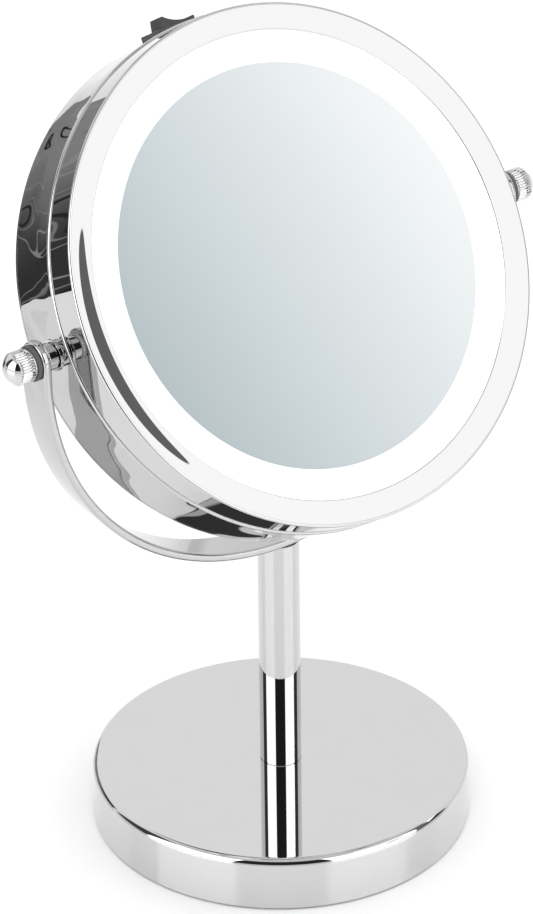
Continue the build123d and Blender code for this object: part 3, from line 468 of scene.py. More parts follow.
PHOSPHOR = grained("phosphor", (0.9, 0.8, 0.3), rough=(0.2, 0.3), Emission_Strength=0.4)
RESISTOR = grained("resistor", (0.012, 0.012, 0.012), rough=(0.25, 0.4))
SLEEVE = grained("battery_sleeve", (0.08, 0.11, 0.15), metallic=0.5, rough=(0.2, 0.35), drift=0.1)
RED_WIRE = grained("red_wire", (0.45, 0.02, 0.015), rough=(0.35, 0.5))
BLACK_WIRE = grained("black_wire", (0.012, 0.012, 0.012), rough=(0.35, 0.5))
ZINC = turned("zinc_plate", (0.6, 0.61, 0.62), pitch=0.0006)
STEEL = turned("turned_steel", (0.5, 0.5, 0.52), pitch=0.0004)
NICKEL = turned("nickel_plate", (0.62, 0.6, 0.57), pitch=0.0005, rough=(0.15, 0.3))
BRASS = turned("tinned_brass", (0.62, 0.5, 0.28), pitch=0.0005)

CAD_MATERIALS = {
    "base_weight": IRON,
    "base_pad": FOAM,
    "base_washer": ZINC,
    "base_bolt": ZINC,
    "stem_bottom_plug": STEEL,
    "stem_top_plug": STEEL,
    "yoke_screw": CHROME_SMALL,
    "yoke_bushes": NYLON,
    "bezel_screws": ZINC,
    "chassis": WHITE_PLASTIC,
    "mirror_tape": TAPE,
    "led_board": BOARD,
    "leds": PHOSPHOR,
    "led_resistors": RESISTOR,
    "battery_tray": BLACK_PLASTIC,
    "tray_screws": ZINC,
    "batteries": SLEEVE,
    "battery_springs": NICKEL,
    "battery_contacts": NICKEL,
    "switch_body": SWITCH_GREY,
    "switch_rocker": SWITCH_GREY,
    "switch_terminals": BRASS,
    "wire_battery_to_switch": RED_WIRE,
    "wire_switch_to_lights": RED_WIRE,
    "wire_battery_to_lights": BLACK_WIRE,
    "stud_plates": STEEL,
    "stud_nuts": ZINC,
    "pivot_studs": ZINC,
    "rear_carrier": WHITE_PLASTIC,
}
for node_name, node_material in CAD_MATERIALS.items():
    node_mesh = frame["nodes"][node_name].data
    node_mesh.materials.clear()
    node_mesh.materials.append(node_material)

# ------------------------------------------------------------------ stand
BASE_R = size_mm("base_shell")[0] / 2
BASE_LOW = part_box("base_shell")[0].z / MM
BASE_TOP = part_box("base_shell")[1].z / MM
SHEET = 1.2
BASE_EDGE = 2.5
RIM_EDGE = 0.35
BOLT_HOLE = 3.2
base_profile = rounded(
    [
        (BOLT_HOLE, BASE_TOP),
        (BASE_R, BASE_TOP, BASE_EDGE),
        (BASE_R, BASE_LOW, RIM_EDGE),
        (BASE_R - SHEET, BASE_LOW, RIM_EDGE),
        (BASE_R - SHEET, BASE_TOP - SHEET, BASE_EDGE - SHEET),
        (BOLT_HOLE, BASE_TOP - SHEET),
    ],
    steps=14,
)
base = lathe("base_cover", base_profile, WORLD, CHROME_BASE, around=384)
stand_in(base, "stand", "base_shell", "base_shell")

YOKE_LOW, YOKE_HIGH = (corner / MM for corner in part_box("yoke"))
YOKE_R = YOKE_HIGH.x
YOKE_W = YOKE_HIGH.y - YOKE_LOW.y
YOKE_Z = YOKE_LOW.z + YOKE_R
YOKE_T = 2.9
YOKE_EDGE = 1.0
STEM_R = size_mm("stem_tube")[0] / 2
STEM_WALL = 1.0
STEM_BEVEL = 0.25


def saddle(radius, height, angle):
    """Moves the stem's upper end onto the round underside of the yoke."""
    across = radius * cos(angle)
    top = YOKE_Z - sqrt(YOKE_R**2 - across**2)
    share = (height - BASE_TOP) / (YOKE_LOW.z - BASE_TOP)
    return radius, BASE_TOP + (top - BASE_TOP) * share


stem_profile = [(STEM_R - STEM_BEVEL, BASE_TOP), (STEM_R, BASE_TOP + STEM_BEVEL)]
stem_profile += [(STEM_R, BASE_TOP + STEM_BEVEL + SUPPORT), (STEM_R, YOKE_LOW.z)]
stem_profile += [(STEM_R - STEM_WALL, YOKE_LOW.z), (STEM_R - STEM_WALL, BASE_TOP)]
stem = lathe("stem_pipe", stem_profile, WORLD, CHROME_STEM, around=192, shape=saddle)
stand_in(stem, "stand", "stem_tube", "stem_tube")


EDGE_SHARE = 0.98           # a bar's rounding is at most this share of a half side
ARM_STEPS = 4
CAP_STEPS = 28
CAP_TURN = 89.0             # the arm's end stops short of a point, in degrees
BEND_STEPS = 180
YOKE_SHARP = 40.0


def bar_section(half_width, half_thick, edge, steps=6):
    """Rounded rectangle as (along the width, through the thickness) points."""
    edge = min(edge, half_width * EDGE_SHARE, half_thick * EDGE_SHARE)
    made = []
    for sign_w, sign_t, start in ((1, 1, 0), (-1, 1, 90), (-1, -1, 180), (1, -1, 270)):
        for step in range(steps + 1):
            angle = radians(start + 90 * step / steps)
            made.append(
                (
                    sign_w * (half_width - edge) + edge * cos(angle),
                    sign_t * (half_thick - edge) + edge * sin(angle),
                )
            )
    return made


def build_yoke():
    """Flat bar bent to a half ring, its arms ending in half rounds about the pivot."""
    middle = YOKE_R - YOKE_T / 2
    half = YOKE_W / 2
    pivot_z = PIVOT.z / MM
    arm = []                # (height, half width) down one arm
    for step in range(CAP_STEPS + 1):
        turn = radians(CAP_TURN * (1 - step / CAP_STEPS))
        arm.append((pivot_z + half * sin(turn), half * cos(turn)))
    for step in range(1, ARM_STEPS + 1):
        arm.append((pivot_z + (YOKE_Z - pivot_z) * step / ARM_STEPS, half))
    left = [(Vector((-middle, 0, z)), Vector((-1, 0, 0)), width) for z, width in arm]
    right = [(Vector((middle, 0, z)), Vector((1, 0, 0)), width) for z, width in reversed(arm)]
    bend = []
    for step in range(1, BEND_STEPS):
        angle = pi + pi * step / BEND_STEPS
        way = Vector((cos(angle), 0, sin(angle)))
        bend.append((Vector((0, 0, YOKE_Z)) + way * middle, way, half))
    made = bmesh.new()
    rings = []
    for centre, outward, width in left + bend + right:
        ring = []
        for along, through in bar_section(width, YOKE_T / 2, YOKE_EDGE):
            place = centre + Vector((0, along, 0)) + outward * through
            ring.append(made.verts.new(place * MM))
        rings.append(ring)
    count = len(rings[0])
    for first, second in zip(rings, rings[1:]):
        for index in range(count):
            after = (index + 1) % count
            made.faces.new((first[index], first[after], second[after], second[index]))
    made.faces.new(rings[0])
    made.faces.new(rings[-1])
    return finish_mesh("yoke_arch", made, WORLD, CHROME_YOKE, YOKE_SHARP)


yoke = build_yoke()
EYE_R = 4.0
SCREW_HOLE_R = 2.5
yoke_foot = Matrix.Translation((0, 0, YOKE_LOW.z * MM))
eye_tool = cutter("eye_tool", round_bar(EYE_R, 3 * YOKE_R), side_frame(1))
screw_tool = cutter("screw_tool", round_bar(SCREW_HOLE_R, 4 * YOKE_T), yoke_foot)
cut(yoke, [eye_tool, screw_tool])
stand_in(yoke, "stand", "yoke", "yoke")

# ------------------------------------------------------------------ head: housing and front ring
HEAD_R = head_radius("housing")
HEAD_WALL = 1.9
HOUSING_BACK, SEAM = head_span("housing")
WALL_EDGE = 0.25
SEAM_EDGE = 0.5
LEDGE_R = 78.0
LEDGE_T = 1.6
NOTCH_W = 26.0
NOTCH_H = 3.0
NOTCH_IN = 1.0              # how far the notch's middle lies inside the ledge's edge
NOTCH_EXTRA = 1.8
housing_profile = rounded(
    [
        (HEAD_R, HOUSING_BACK, WALL_EDGE),
        (HEAD_R, SEAM, SEAM_EDGE),
        (LEDGE_R, SEAM),
        (LEDGE_R, SEAM - LEDGE_T),
        (HEAD_R - HEAD_WALL, SEAM - LEDGE_T),
        (HEAD_R - HEAD_WALL, HOUSING_BACK, WALL_EDGE),
    ]
)
housing = lathe("housing_wall", housing_profile, HEAD, CHROME_WALL, around=512)
STUD_R = 2.5
SWITCH_ALONG = -7.3
SWITCH_L = 15.8
SWITCH_W = 9.2
SWITCH_CUT = 16.0
STUD_OVERRUN = 10.0
tools = [cutter("stud_tool", round_bar(STUD_R, 2 * HEAD_R + STUD_OVERRUN), side_frame(1))]
switch_place = HEAD @ Matrix.Translation((0, HEAD_R * MM, SWITCH_ALONG * MM))
tools.append(cutter("switch_tool", block(SWITCH_L, SWITCH_CUT, SWITCH_W), switch_place))
notch_depth = 2 * (HEAD_R - HEAD_WALL - LEDGE_R) + NOTCH_EXTRA
for side in (-1, 1):
    notch_at = (side * (LEDGE_R - NOTCH_IN) * MM, 0, (SEAM - LEDGE_T / 2) * MM)
    notch_place = HEAD @ Matrix.Translation(notch_at)
    tools.append(cutter("notch_tool", block(notch_depth, NOTCH_W, NOTCH_H), notch_place))
cut(housing, tools)
stand_in(housing, "head", "housing", "housing")

FACE = head_span("front_bezel")[1]
SEAM_GAP = 0.6
BEAD_PROUD = 0.55           # how far the bead stands out from the ring's wall
BEZEL_BACK = SEAM + SEAM_GAP
BEZEL_R = head_radius("front_bezel") - BEAD_PROUD
BEZEL_IN = 75.8
BEZEL_WALL = 1.8
BEZEL_SKIN = 1.6
BEZEL_EDGE = 0.8
EDGE_STEPS = 15
LIP_EDGE = 0.5
LIP_STEPS = 8
LIP_WALL = 1.5
LIP_SKIN = 1.4
BEAD = 0.95
BEAD_IN = 0.4               # the bead's centre lies this far inside the wall
BEAD_STEPS = 20
GLASS_FRONT = head_span("front_mirror")[1]
DISH_TILT = 10.0            # steepest slope of the face towards the glass, in degrees
DISH_MIDDLE = 79.95         # radius of the steepest slope
DISH_EASE = 0.0188          # how fast the slope eases on both sides of it, per mm squared
DISH_LEAST = 0.8            # the slope never eases below this share
DISH_STEPS = 60


def dish_slope(radius):
    """Slope of the face towards the glass at a radius, in radians."""
    return radians(DISH_TILT) * max(1 - DISH_EASE * (radius - DISH_MIDDLE) ** 2, DISH_LEAST)


def arc(centre, radius, first, last, steps):
    """Points of an arc between two angles in degrees."""
    made = []
    for step in range(steps + 1):
        angle = radians(first + (last - first) * step / steps)
        made.append((centre[0] + radius * cos(angle), centre[1] + radius * sin(angle)))
    return made


def face_profile(start, inner):
    """Front face from the outer edge inward, a shallow dish."""
    radius, height = start
    step_w = (radius - inner) / DISH_STEPS
    made = []
    for step in range(DISH_STEPS):
        slope = dish_slope(radius - step_w / 2)
        radius -= step_w
        height -= step_w * tan(slope)
        made.append((radius, height))
    return made


def bezel_profile():
    """Bead at the seam, outer wall, rounded edge, face, lip and the wall down to the light."""
    bead_centre = (BEZEL_R - BEAD_IN, BEZEL_BACK + BEAD)
    meet = atan2(sqrt(BEAD**2 - BEAD_IN**2), BEAD_IN) * 180 / pi
    made = [(BEZEL_R - BEZEL_WALL, BEZEL_BACK)] + arc(bead_centre, BEAD, -90, meet, BEAD_STEPS)
    made.append((BEZEL_R, made[-1][1] + 2 * SUPPORT))
    made.append((BEZEL_R, FACE - BEZEL_EDGE - SUPPORT))
    tilt = dish_slope(BEZEL_R - BEZEL_EDGE) * 180 / pi
    made += arc((BEZEL_R - BEZEL_EDGE, FACE - BEZEL_EDGE), BEZEL_EDGE, 0, 90 + tilt, EDGE_STEPS)
    face = face_profile(made[-1], BEZEL_IN + LIP_EDGE)
    made += face
    lip = face[-1][1]
    made += arc((BEZEL_IN + LIP_EDGE, lip - LIP_EDGE), LIP_EDGE, 90 + tilt, 180, LIP_STEPS)
    made.append((BEZEL_IN, GLASS_FRONT))
    made.append((BEZEL_IN + LIP_WALL, GLASS_FRONT))
    made.append((BEZEL_IN + LIP_WALL, lip - LIP_SKIN))
    made.append((BEZEL_R - BEZEL_WALL, FACE - BEZEL_SKIN))
    return made


bezel = lathe("bezel_ring", bezel_profile(), HEAD, CHROME_FACE, around=512, sharp=35.0)
stand_in(bezel, "head", "front_bezel", "front_bezel")

# ------------------------------------------------------------------ head: mirror and light
GLASS_R = head_radius("front_mirror")
GLASS_BACK = head_span("front_mirror")[0]
GLASS_EDGE = 0.3
glass_profile = rounded(
    [
        (0, GLASS_BACK),
        (GLASS_R, GLASS_BACK),
        (GLASS_R, GLASS_FRONT, GLASS_EDGE),
        (GLASS_R / 2, GLASS_FRONT),
        (0, GLASS_FRONT),
    ],
    steps=4,
)
glass = lathe("front_glass", glass_profile, HEAD, GLASS, around=384)
stand_in(glass, "head", "front_mirror", "front_mirror")

LIGHT_R = head_radius("light_diffuser")
LIGHT_LOW, LIGHT_TOP = head_span("light_diffuser")
LIGHT_T = 2.2
LIGHT_EDGE = 0.2
LIGHT_GAP = 0.1
SKIRT = 1.2
light_in = GLASS_R + LIGHT_GAP
light_profile = rounded(
    [
        (light_in, LIGHT_LOW),
        (light_in, LIGHT_TOP, LIGHT_EDGE),
        (LIGHT_R, LIGHT_TOP, LIGHT_EDGE),
        (LIGHT_R, LIGHT_LOW),
        (LIGHT_R - SKIRT, LIGHT_LOW),
        (LIGHT_R - SKIRT, LIGHT_TOP - LIGHT_T),
        (light_in + SKIRT, LIGHT_TOP - LIGHT_T),
        (light_in + SKIRT, LIGHT_LOW),
    ],
    steps=4,
)
light_ring = lathe("light_ring", light_profile, HEAD, LIGHT, around=384)
stand_in(light_ring, "head", "light_diffuser", "light_diffuser")

# ------------------------------------------------------------------ pivot spacers, washers and knobs
FIT = 0.05                  # gap between pieces that turn on each other
BUSH_FLANGE = 0.8
SPACER_R = 4.5
SPACER_EDGE = 0.2
RIDGE_EDGE = 0.06
RIDGE_FROM = 4.0            # corners further out than this are rounded, the grooves' floors aren't
SPACER_PROFILE = (          # radius, distance out from the head's wall
    (STUD_R, -0.6),
    (SPACER_R, -0.6),
    (SPACER_R, 1.6),
    (3.8, 1.75),
    (3.8, 2.1),
    (5.2, 2.25),
    (5.2, 3.15),
    (3.8, 3.3),
    (3.8, 3.7),
    (SPACER_R, 3.85),
)
SPACER_END = YOKE_R - YOKE_T - BUSH_FLANGE - FIT - HEAD_R
spacer_profile = rounded(
    [(r, HEAD_R + x, RIDGE_EDGE) if r > RIDGE_FROM else (r, HEAD_R + x) for r, x in SPACER_PROFILE]
    + [(SPACER_R, HEAD_R + SPACER_END, SPACER_EDGE), (STUD_R, HEAD_R + SPACER_END)],
    steps=4,
)
SIDES = ((-1, "left"), (1, "right"))
spacers = [
    lathe(f"spacer_{name}", spacer_profile, side_frame(side), CHROME_SMALL, around=128)
    for side, name in SIDES
]
for spacer in spacers:
    stand_in(spacer, "head", "pivot_spacers", "pivot_spacers")

WASHER_EDGE = 0.4
KNOB_R = 5.5
FOOT_STEP = 0.4             # the knob's foot is this much smaller in radius than its drum
FOOT_H = 0.7
DRUM_END = 102.4            # distance of the drum's outer end from the middle of the object
NEAR_BEVEL = (0.15, 0.2)    # inward and along, at the drum's near end
FAR_BEVEL = 0.25
DOME_BASE = 4.9
DOME_R = 5.5
DOME_STEPS = 24
DOME_STEP = 0.05            # flat ring between the drum's end and the dome
KNURLS = 36
KNURL_POINTS = 12           # round one knurl
KNURL_DEPTH = 0.26
KNURL_TOP = 0.35            # share of the pitch that stays at full radius
KNURL_SKIN = 0.3            # points deeper than this under the drum's skin don't move


def knurled(radius, height, angle):
    """Presses straight V grooves into the drum's skin."""
    if radius < KNOB_R - KNURL_SKIN:
        return radius, height
    share = abs((angle * KNURLS / (2 * pi)) % 1 - 0.5) * 2
    groove = max(share - KNURL_TOP, 0) / (1 - KNURL_TOP)
    return radius - KNURL_DEPTH * groove, height


for side, side_name in SIDES:
    washer_box = [abs(corner.x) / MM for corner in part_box(f"knob_washer_{side_name}")]
    washer_near, washer_far = min(washer_box), max(washer_box)
    washer_r = size_mm(f"knob_washer_{side_name}")[1] / 2
    washer_profile = rounded(
        [
            (STUD_R + FIT, washer_near),
            (washer_r, washer_near, WASHER_EDGE),
            (washer_r, washer_far, WASHER_EDGE),
            (STUD_R + FIT, washer_far),
        ]
    )
    washer_name = f"friction_washer_{side_name}"
    washer = lathe(washer_name, washer_profile, side_frame(side), WASHER_GREY, around=128)
    slot_name = f"knob_washer_{side_name}"
    stand_in(washer, f"{side_name}_washer", slot_name, slot_name)

    knob_box = [abs(corner.x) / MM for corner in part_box(f"knob_{side_name}")]
    knob_near, knob_tip = min(knob_box), max(knob_box)
    drum_near = knob_near + FOOT_H
    dome_centre = knob_tip - DOME_R
    dome_start = asin(DOME_BASE / DOME_R)
    dome = []
    for step in range(DOME_STEPS):
        angle = dome_start * (1 - step / DOME_STEPS)
        dome.append((DOME_R * sin(angle), dome_centre + DOME_R * cos(angle)))
    knob_profile = [(0, knob_near), (KNOB_R - FOOT_STEP, knob_near), (KNOB_R - FOOT_STEP, drum_near)]
    knob_profile += [(KNOB_R - NEAR_BEVEL[0], drum_near), (KNOB_R, drum_near + NEAR_BEVEL[1])]
    knob_profile += [(KNOB_R, DRUM_END - FAR_BEVEL), (KNOB_R - FAR_BEVEL, DRUM_END)]
    knob_profile += [(DOME_BASE + DOME_STEP, DRUM_END)] + dome + [(0, knob_tip)]
    knob = lathe(
        f"knob_cap_{side_name}",
        knob_profile,
        side_frame(side),
        CHROME_SMALL,
        around=KNURLS * KNURL_POINTS,
        shape=knurled,
        sharp=50.0,
    )
    stand_in(knob, f"{side_name}_knob", f"knob_{side_name}", f"knob_{side_name}")

# ------------------------------------------------------------------ rear cover
COVER_BACK, COVER_FRONT = head_span("rear_ring")
COVER_SEAT = -17.0
COVER_IN = 76.5
SKIRT_OUT = 82.4
SKIRT_IN = 80.8
COVER_EDGE = 1.2
COVER_LIP_EDGE = 0.5
SKIRT_EDGE = 0.3
cover_profile = rounded(
    [
        (COVER_IN, COVER_BACK, COVER_LIP_EDGE),
        (HEAD_R, COVER_BACK, COVER_EDGE),
        (HEAD_R, COVER_SEAT),
        (SKIRT_OUT, COVER_SEAT),
        (SKIRT_OUT, COVER_FRONT, SKIRT_EDGE),
        (SKIRT_IN, COVER_FRONT, SKIRT_EDGE),
        (SKIRT_IN, COVER_SEAT),
        (COVER_IN, COVER_SEAT),
    ]
)
cover = lathe("cover_ring", cover_profile, HEAD, CHROME_WALL, around=512)
PRY_W = 14.0
PRY_L = 3.2
PRY_H = 0.902
PRY_BACK = 0.45             # just under half of PRY_H, so that the cut passes the seat
pry_place = HEAD @ Matrix.Translation((0, -HEAD_R * MM, (COVER_SEAT - PRY_BACK) * MM))
cut(cover, [cutter("pry_tool", block(PRY_W, PRY_L, PRY_H), pry_place)])
stand_in(cover, "rear_cover", "rear_ring", "rear_ring")

REAR_GLASS_R = 80.5
REAR_CURVE = 1000.0
REAR_T = 2.0
REAR_STEPS = 24
edge_height = COVER_SEAT - sqrt(REAR_CURVE**2 - REAR_GLASS_R**2)
rear_rings = [REAR_GLASS_R * step / REAR_STEPS for step in range(REAR_STEPS + 1)]
rear_profile = [(r, edge_height + sqrt(REAR_CURVE**2 - r * r)) for r in rear_rings]
rear_profile += [(r, z + REAR_T) for r, z in reversed(rear_profile)]
rear_glass = lathe("rear_glass", rear_profile, HEAD, REAR_GLASS, around=384)
stand_in(rear_glass, "rear_cover", "rear_mirror", "rear_mirror")

# ------------------------------------------------------------------ camera at the photograph's angle
CAMERA_AT = Vector((-0.92979, -1.24208, 1.03882))
CAMERA_YAW = 36.687         # degrees from +Y towards +X
CAMERA_DOWN = 30.196
CAMERA_ROLL = -0.74
FOCAL_WIDTHS = 10.298       # focal length in picture widths
camera_data = bpy.data.cameras.new("photo_camera")
camera_data.sensor_fit = "HORIZONTAL"
camera_data.sensor_width = 36.0
camera_data.lens = FOCAL_WIDTHS * camera_data.sensor_width
camera_data.clip_start = 0.1
camera_data.clip_end = 60.0
camera = bpy.data.objects.new("photo_camera", camera_data)
aim = Matrix.Rotation(radians(-CAMERA_YAW), 4, "Z") @ Matrix.Rotation(radians(90 - CAMERA_DOWN), 4, "X")
camera.matrix_world = Matrix.Translation(CAMERA_AT) @ aim @ Matrix.Rotation(radians(CAMERA_ROLL), 4, "Z")
scene.collection.objects.link(camera)
scene.camera = camera

# ------------------------------------------------------------------ studio: floor, cards and world
LOOK = Vector(
    (
        sin(radians(CAMERA_YAW)) * cos(radians(CAMERA_DOWN)),
        cos(radians(CAMERA_YAW)) * cos(radians(CAMERA_DOWN)),
        -sin(radians(CAMERA_DOWN)),
    )
)
FLOOR_R = 14.0
FLOOR_TONES = (0.9, 0.91)
FLOOR_ROUGH = (0.12, 0.2)
FLOOR_SPECULAR = 0.5        # the floor has a gloss in reflections, and is matt as the camera sees it
floor_mesh = bmesh.new()
bmesh.ops.create_circle(floor_mesh, cap_ends=True, segments=96, radius=FLOOR_R)
floor_material, nodes = new_material("floor_white")
floor_where = nodes.add("ShaderNodeTexCoord").outputs["Object"]
floor_grain = nodes.noise(floor_where, scale=6.0, detail=3.0)
floor_seen = nodes.add("ShaderNodeLightPath").outputs["Is Camera Ray"]
surface(
    nodes,
    Base_Color=nodes.colour(floor_grain, grey(FLOOR_TONES[0]), grey(FLOOR_TONES[1])),
    Roughness=nodes.span(floor_grain, *NOISE_RANGE, *FLOOR_ROUGH),
    Specular_IOR_Level=nodes.mix(floor_seen, FLOOR_SPECULAR, 0.0),
)
floor = finish_mesh("floor", floor_mesh, WORLD, floor_material, sharp=30.0)


SECOND_BOUNCE = (1.2, 1.8)  # a ray depth past this range is a second reflection


def card(name, centre, x_axis, y_axis, width, height, shade, once=False):
    """Card seen only in reflections, or only in first ones.

    shade(nodes, x, y) gives its brightness and tint at a place on it, in metres from its middle.
    """
    made = bmesh.new()
    bmesh.ops.create_grid(made, x_segments=2, y_segments=2, size=0.5)
    bmesh.ops.scale(made, vec=(width, height, 1.0), verts=made.verts)
    mesh = bpy.data.meshes.new(name)
    made.to_mesh(mesh)
    made.free()
    flat = bpy.data.objects.new(name, mesh)
    x_axis = x_axis.normalized()
    y_axis = (y_axis - x_axis * y_axis.dot(x_axis)).normalized()
    place = Matrix((x_axis, y_axis, x_axis.cross(y_axis))).transposed().to_4x4()
    place.translation = centre
    flat.matrix_world = place
    scene.collection.objects.link(flat)
    material, tree = new_material(name)
    where = tree.add("ShaderNodeTexCoord").outputs["Object"]
    parts = tree.add("ShaderNodeSeparateXYZ", {0: where}).outputs
    strength, tint = shade(tree, parts["X"], parts["Y"])
    glow = tree.add("ShaderNodeEmission", {"Color": tint, "Strength": strength}).outputs[0]
    if once:
        bounce = tree.add("ShaderNodeLightPath").outputs["Ray Depth"]
        clear = tree.add("ShaderNodeBsdfTransparent").outputs[0]
        later = tree.span(bounce, *SECOND_BOUNCE)
        glow = tree.add("ShaderNodeMixShader", {0: later, 1: glow, 2: clear}).outputs[0]
    tree.add("ShaderNodeOutputMaterial", {"Surface": glow})
    mesh.materials.append(material)
    flat.visible_camera = False
    flat.visible_diffuse = False
    flat.visible_shadow = False
    return flat


# the softbox that the glass and the front ring's face show
CARD_AWAY = 1.2
CARD_SIZE = 1.1
GLASS_SPAN = 0.066          # the glass's radius, in m
SLOPE_ACROSS = 0.217        # brightness gained over one such radius
SLOPE_UP = 0.142
MIDDLE_LEVEL = 0.84
MIDDLE_NARROW = 1.1         # the middle is this much narrower than tall
MIDDLE_END = (1.04, 1.14)
SURROUND_LEVEL = 1.55
COOL_TO_WARM = (0.6, 1.05)  # brightness range over which the tint changes
COOL = rgba((0.929, 1.0, 1.033))
WARM = rgba((1.035, 1.0, 0.997))
STRIP_WAY = 26.7            # bearing of the dark strip from the middle, in degrees
STRIP_SPAN = (0.287, 0.5)
STRIP_SOFT = 0.0015
STRIP_LEVEL = 0.19
face_centre = PIVOT + FORWARD * GLASS_FRONT * MM
sight = (face_centre - CAMERA_AT).normalized()
SPREAD = ((face_centre - CAMERA_AT).length + CARD_AWAY) / (face_centre - CAMERA_AT).length
camera_x = Vector((cos(radians(CAMERA_YAW)), -sin(radians(CAMERA_YAW)), 0))
camera_y = camera_x.cross(LOOK)


def mirrored(way):
    return way - FORWARD * (2 * way.dot(FORWARD))


def softbox_shade(tree, x, y):
    """A cool gradient in the middle, bright round it, and a dark strip at one side."""
    across = tree.math("MULTIPLY", x, 1 / (GLASS_SPAN * SPREAD))
    upward = tree.math("MULTIPLY", y, 1 / (GLASS_SPAN * SPREAD))
    rise_across = tree.math("MULTIPLY", across, SLOPE_ACROSS)
    slope = tree.math("ADD", rise_across, tree.math("MULTIPLY", upward, SLOPE_UP))
    middle = tree.math("ADD", slope, MIDDLE_LEVEL)
    wide = tree.math("MULTIPLY", across, MIDDLE_NARROW)
    squares = tree.math("ADD", tree.math("POWER", wide, 2.0), tree.math("POWER", upward, 2.0))
    past = tree.span(tree.math("SQRT", squares), *MIDDLE_END)
    bright = tree.mix(past, middle, SURROUND_LEVEL)
    warmth = tree.span(middle, *COOL_TO_WARM, smooth=False)
    tint = tree.colour(past, tree.colour(warmth, COOL, WARM), WHITE)
    way = radians(STRIP_WAY)
    along_x = tree.math("MULTIPLY", x, cos(way))
    along = tree.math("ADD", along_x, tree.math("MULTIPLY", y, sin(way)))
    strip = tree.between(along, *STRIP_SPAN, STRIP_SOFT)
    return tree.mix(strip, bright, STRIP_LEVEL), tint


reflected = mirrored(sight)
card(
    "face_softbox",
    face_centre + reflected * CARD_AWAY,
    mirrored(camera_x),
    mirrored(camera_y),
    CARD_SIZE,
    CARD_SIZE,
    softbox_shade,
    once=True,
)


# a dark panel low behind the mirror's left, which the head's round wall shows
PANEL_AWAY = 0.62
PANEL_AZ = (-34.5, 7.5)     # degrees from +Y towards +X
PANEL_W = 0.5
PANEL_LOW = 0.02            # its lower edge above the floor, in m
PANEL_H = 0.24
PANEL_STRETCH = 1.6
FADE_SPAN = (-0.16, 0.1)    # from dark to less dark across the panel, in m
FADE_LEVELS = (0.05, 0.3)
FOLDS = (                   # noise from, to, softness, level
    (0.45, 0.462, 0.003, 0.34),
    (0.54, 0.55, 0.003, 0.26),
    (0.57, 0.59, 0.004, 0.03),
)


def panel_shade(tree, x, y):
    """Dark, fading to one side, with pale and black folds."""
    wide = tree.math("MULTIPLY", x, PANEL_STRETCH)
    where = tree.add("ShaderNodeCombineXYZ", {"X": wide, "Y": y}).outputs[0]
    folds = tree.noise(where, scale=5.5, detail=1.0)
    shade = tree.span(x, *FADE_SPAN, *FADE_LEVELS)
    for low, high, soft, level in FOLDS:
        shade = tree.mix(tree.between(folds, low, high, soft), shade, level)
    return shade, WHITE


panel_mid = radians(sum(PANEL_AZ) / 2)
panel_out = Vector((sin(panel_mid), cos(panel_mid), 0))
panel_x = Vector((cos(panel_mid), -sin(panel_mid), 0))
card(
    "dark_panel",
    panel_out * PANEL_AWAY + Vector((0, 0, PANEL_LOW + PANEL_H / 2)),
    panel_x,
    Vector((0, 0, 1)),
    PANEL_W,
    PANEL_H,
    panel_shade,
)

# world: plain light for the floor and matte pieces, studio panels by direction for gloss
PLAIN_LEVEL = 1.5
FAR_SPAN = (108.0, 150.0)   # degrees round from behind the camera
FAR_LEVELS = (1.2, 1.27)
AROUND = (                  # degrees round from behind the camera: from, to, softness, level
    (-5.0, 28.0, 1.0, 0.03),
    (28.0, 82.0, 1.0, 3.2),
    (82.0, 108.0, 1.5, 0.08),
)
OVERHEAD_SPAN = (50.0, 58.0)    # degrees of elevation
HORIZON_SPAN = (2.0, 8.0)
EVEN_LEVEL = 0.95           # overhead and at the horizon
BOOM_RISE = (52.0, 67.0, 1.0)   # a dark patch overhead: from, to, softness in degrees
BOOM_BEARING = (8.0, 42.0, 1.5)
BOOM_LEVEL = 0.08
DEGREES = 180 / pi
world = bpy.data.worlds.new("studio")
scene.world = world
world.use_nodes = True
nodes = Nodes(world.node_tree)
direction = nodes.add("ShaderNodeTexCoord").outputs["Generated"]
back_flat = Vector((-sin(radians(CAMERA_YAW)), -cos(radians(CAMERA_YAW)), 0))
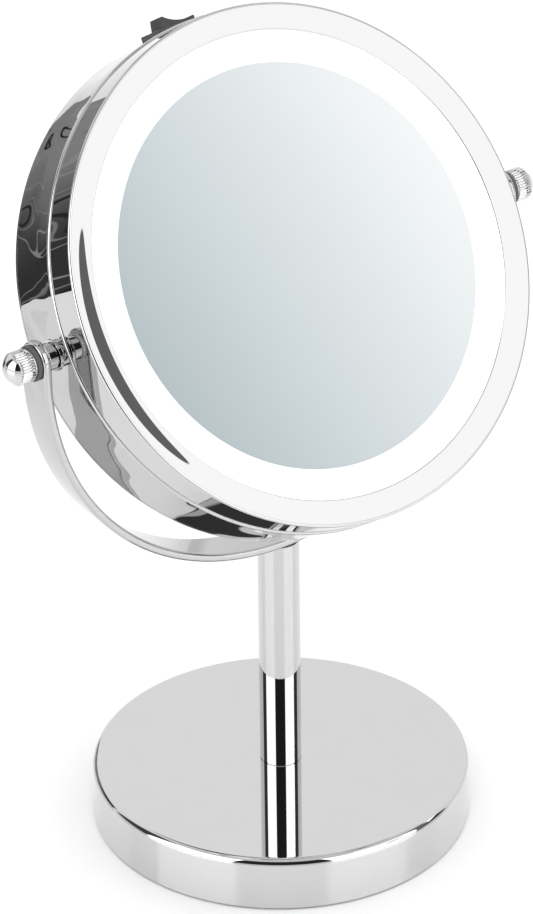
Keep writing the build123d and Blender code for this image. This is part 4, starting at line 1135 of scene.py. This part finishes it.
right_flat = Vector((-cos(radians(CAMERA_YAW)), sin(radians(CAMERA_YAW)), 0))
aside = nodes.math("ARCTAN2", nodes.dot(direction, right_flat), nodes.dot(direction, back_flat))
turn = nodes.math("ABSOLUTE", nodes.math("MULTIPLY", aside, DEGREES))
height = nodes.add("ShaderNodeSeparateXYZ", {0: direction}).outputs["Z"]
rise = nodes.math("MULTIPLY", nodes.math("ARCSINE", height), DEGREES)
level = nodes.span(turn, *FAR_SPAN, *FAR_LEVELS)
for low, high, soft, panel_level in AROUND:
    level = nodes.mix(nodes.between(turn, low, high, soft), level, panel_level)
level = nodes.mix(nodes.span(rise, *OVERHEAD_SPAN), level, EVEN_LEVEL)
level = nodes.mix(nodes.span(rise, *HORIZON_SPAN), EVEN_LEVEL, level)
eastward = nodes.math("ARCTAN2", nodes.dot(direction, ACROSS), nodes.dot(direction, (0, 1, 0)))
bearing = nodes.math("MULTIPLY", eastward, DEGREES)
boom = nodes.math("MULTIPLY", nodes.between(rise, *BOOM_RISE), nodes.between(bearing, *BOOM_BEARING))
level = nodes.mix(boom, level, BOOM_LEVEL)
rays = nodes.add("ShaderNodeLightPath").outputs
lit = nodes.mix(rays["Is Glossy Ray"], PLAIN_LEVEL, level)
sky = nodes.add("ShaderNodeBackground", {"Strength": lit}).outputs[0]
nodes.add("ShaderNodeOutputWorld", {"Surface": sky})

# a soft key and fill shape the matte pieces; chrome doesn't show them
for lamp_name, place, power, size in (
    ("key", (-1.6, -1.8, 2.4), 14.0, 1.4),
    ("fill", (2.0, -1.2, 1.6), 6.0, 1.6),
):
    lamp_data = bpy.data.lights.new(lamp_name, "AREA")
    lamp_data.energy = power
    lamp_data.size = size
    lamp = bpy.data.objects.new(lamp_name, lamp_data)
    lamp.location = place
    lamp.rotation_euler = (PIVOT - Vector(place)).to_track_quat("-Z", "Y").to_euler()
    lamp.visible_glossy = False
    scene.collection.objects.link(lamp)

scene.view_settings.view_transform = "Standard"
scene.view_settings.look = "None"
